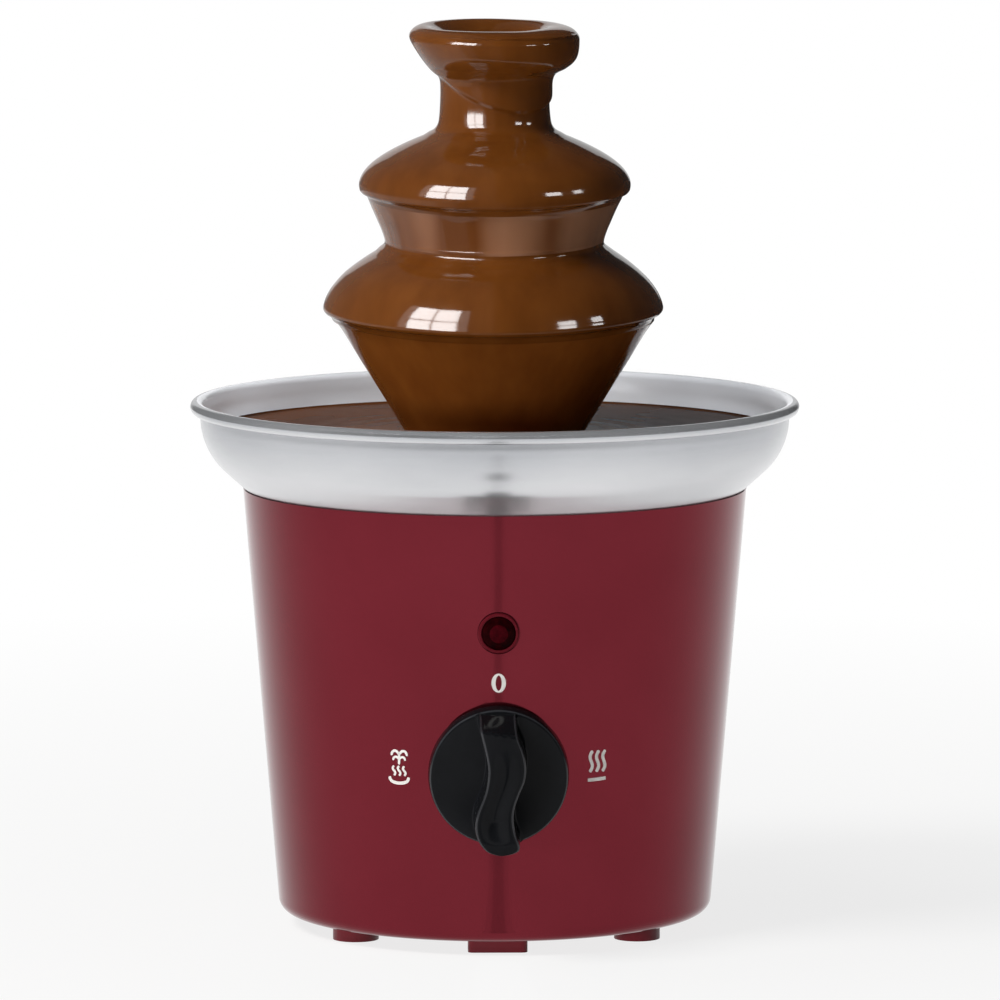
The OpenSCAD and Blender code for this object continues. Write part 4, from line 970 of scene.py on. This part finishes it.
def light_group(name, *pieces):
    group = bpy.data.collections.new(name)
    for piece in pieces:
        group.objects.link(piece)
    return group


def pane(name, az, el, width, height, value):
    """A bright window that only reflections in the chocolate see, curved round the tower."""
    n = 8
    verts = []
    for e in (el - height / 2, el + height / 2):
        verts += [on_sphere(az - width / 2 + width * k / n, e, PANE_D) for k in range(n + 1)]
    obj = flag(name, verts, [(k, k + 1, n + 2 + k, n + 1 + k) for k in range(n)], value)
    obj.light_linking.receiver_collection = window_light


def deck(name, az0, az1, value, near=0.10, far=2.1):
    """Part of a level ring that only reflections from above see."""
    n = 16
    verts = []
    for d in (near, far):
        for k in range(n + 1):
            a = math.radians(az0 + (az1 - az0) * k / n)
            verts.append((d * math.sin(a), -d * math.cos(a), DECK_Z))
    obj = flag(name, verts, [(k, n + 1 + k, n + 2 + k, k + 1) for k in range(n)], value)
    tree = obj.data.materials[0].node_tree
    tree.links.new(mix_shaders(tree, add(tree, "ShaderNodeNewGeometry").outputs["Backfacing"],
                               tree.nodes["Principled BSDF"].outputs[0],
                               add(tree, "ShaderNodeBsdfTransparent").outputs[0]),
                   tree.nodes["Material Output"].inputs["Surface"])


room()
window_light = light_group("window_light", flows, well, pool)
for az, el in ((-52, 31), (-34, 31), (-52, 12.5), (-34, 12.5)):
    pane("pane_left_%d_%d" % (-az, el), az, el, 16.8, 17.3, 28)
pane("hanging_left", -64.5, 22, 5.5, 36, 2.2)
pane("hanging_right", -21.5, 22, 5.5, 36, 2.2)
pane("pane_right", 50, 15, 13, 9, 20)
pane("pane_far_right", 74, 15, 9, 9, 16)

deck("flag_deck_right", 8, 172, 0.03)
deck("flag_deck_back", 172, 188, 0.8)
deck("flag_deck_left", 188, 312, 0.75, 0.10, 0.42)
deck("flag_deck_far_left", 188, 312, 0.25, 0.42)
deck("flag_deck_front_left", 312, 330, 0.36)
deck("flag_deck_front", 330, 368, 0.12)


# Lights

def aimed(obj, at, aim):
    obj.location = at
    obj.rotation_mode = "QUATERNION"
    obj.rotation_quaternion = (Vector(aim) - Vector(at)).to_track_quat("-Z", "Y")


def area_light(name, at, aim, size, power, colour=(1, 1, 1)):
    data = bpy.data.lights.new(name, "AREA")
    data.shape = "RECTANGLE"
    data.size, data.size_y = size
    data.energy = power
    data.color = colour
    obj = bpy.data.objects.new(name, data)
    bpy.context.scene.collection.objects.link(obj)
    aimed(obj, at, aim)
    obj.visible_camera = obj.visible_glossy = False
    return obj


area_light("window_left", (-1.27, -0.93, 1.75), (0, 0, 0.19), (0.9, 0.7), 43, (1.0, 0.985, 0.96))
area_light("low_fill", (-1.15, -1.64, 0.15), (0, 0, 0.18), (0.7, 0.25), 15)
bowl_light = light_group("bowl_light", bowl)
for name, at, power in (("bowl_fill", (0.1, -1.2, 1.1), 23), ("bowl_fill_right", (1.15, -0.75, 0.55), 9)):
    fill = area_light(name, at, (0, 0.05, 0.15), (0.9, 0.5), power)
    fill.light_linking.receiver_collection = bowl_light
area_light("overhead", (-1.1, 0.2, 1.9), (0, 0, 0.15), (1.0, 1.0), 5)

# Camera at the photograph's viewing angle, for an image of 1000 by 1000

DISTANCE, ELEVATION, AZIMUTH = 2.6, math.radians(6.2), math.radians(-0.9)   # seen from the rim
RIM_HEIGHT = 0.151
AIM = Vector((0.0015, 0.0, 0.1235))
IMAGE_PX, PX_PER_M, SENSOR = 1000, 3454.5, 36

camera_data = bpy.data.cameras.new("camera")
camera = bpy.data.objects.new("camera", camera_data)
bpy.context.scene.collection.objects.link(camera)
bpy.context.scene.camera = camera
aimed(camera, (DISTANCE * math.sin(AZIMUTH), -DISTANCE * math.cos(AZIMUTH),
               RIM_HEIGHT + DISTANCE * math.tan(ELEVATION)), AIM)
camera_data.sensor_width = SENSOR
camera_data.lens = PX_PER_M * (AIM - camera.location).length * SENSOR / IMAGE_PX
camera_data.clip_start, camera_data.clip_end = 0.05, 50

bpy.context.scene.view_settings.view_transform = "Standard"
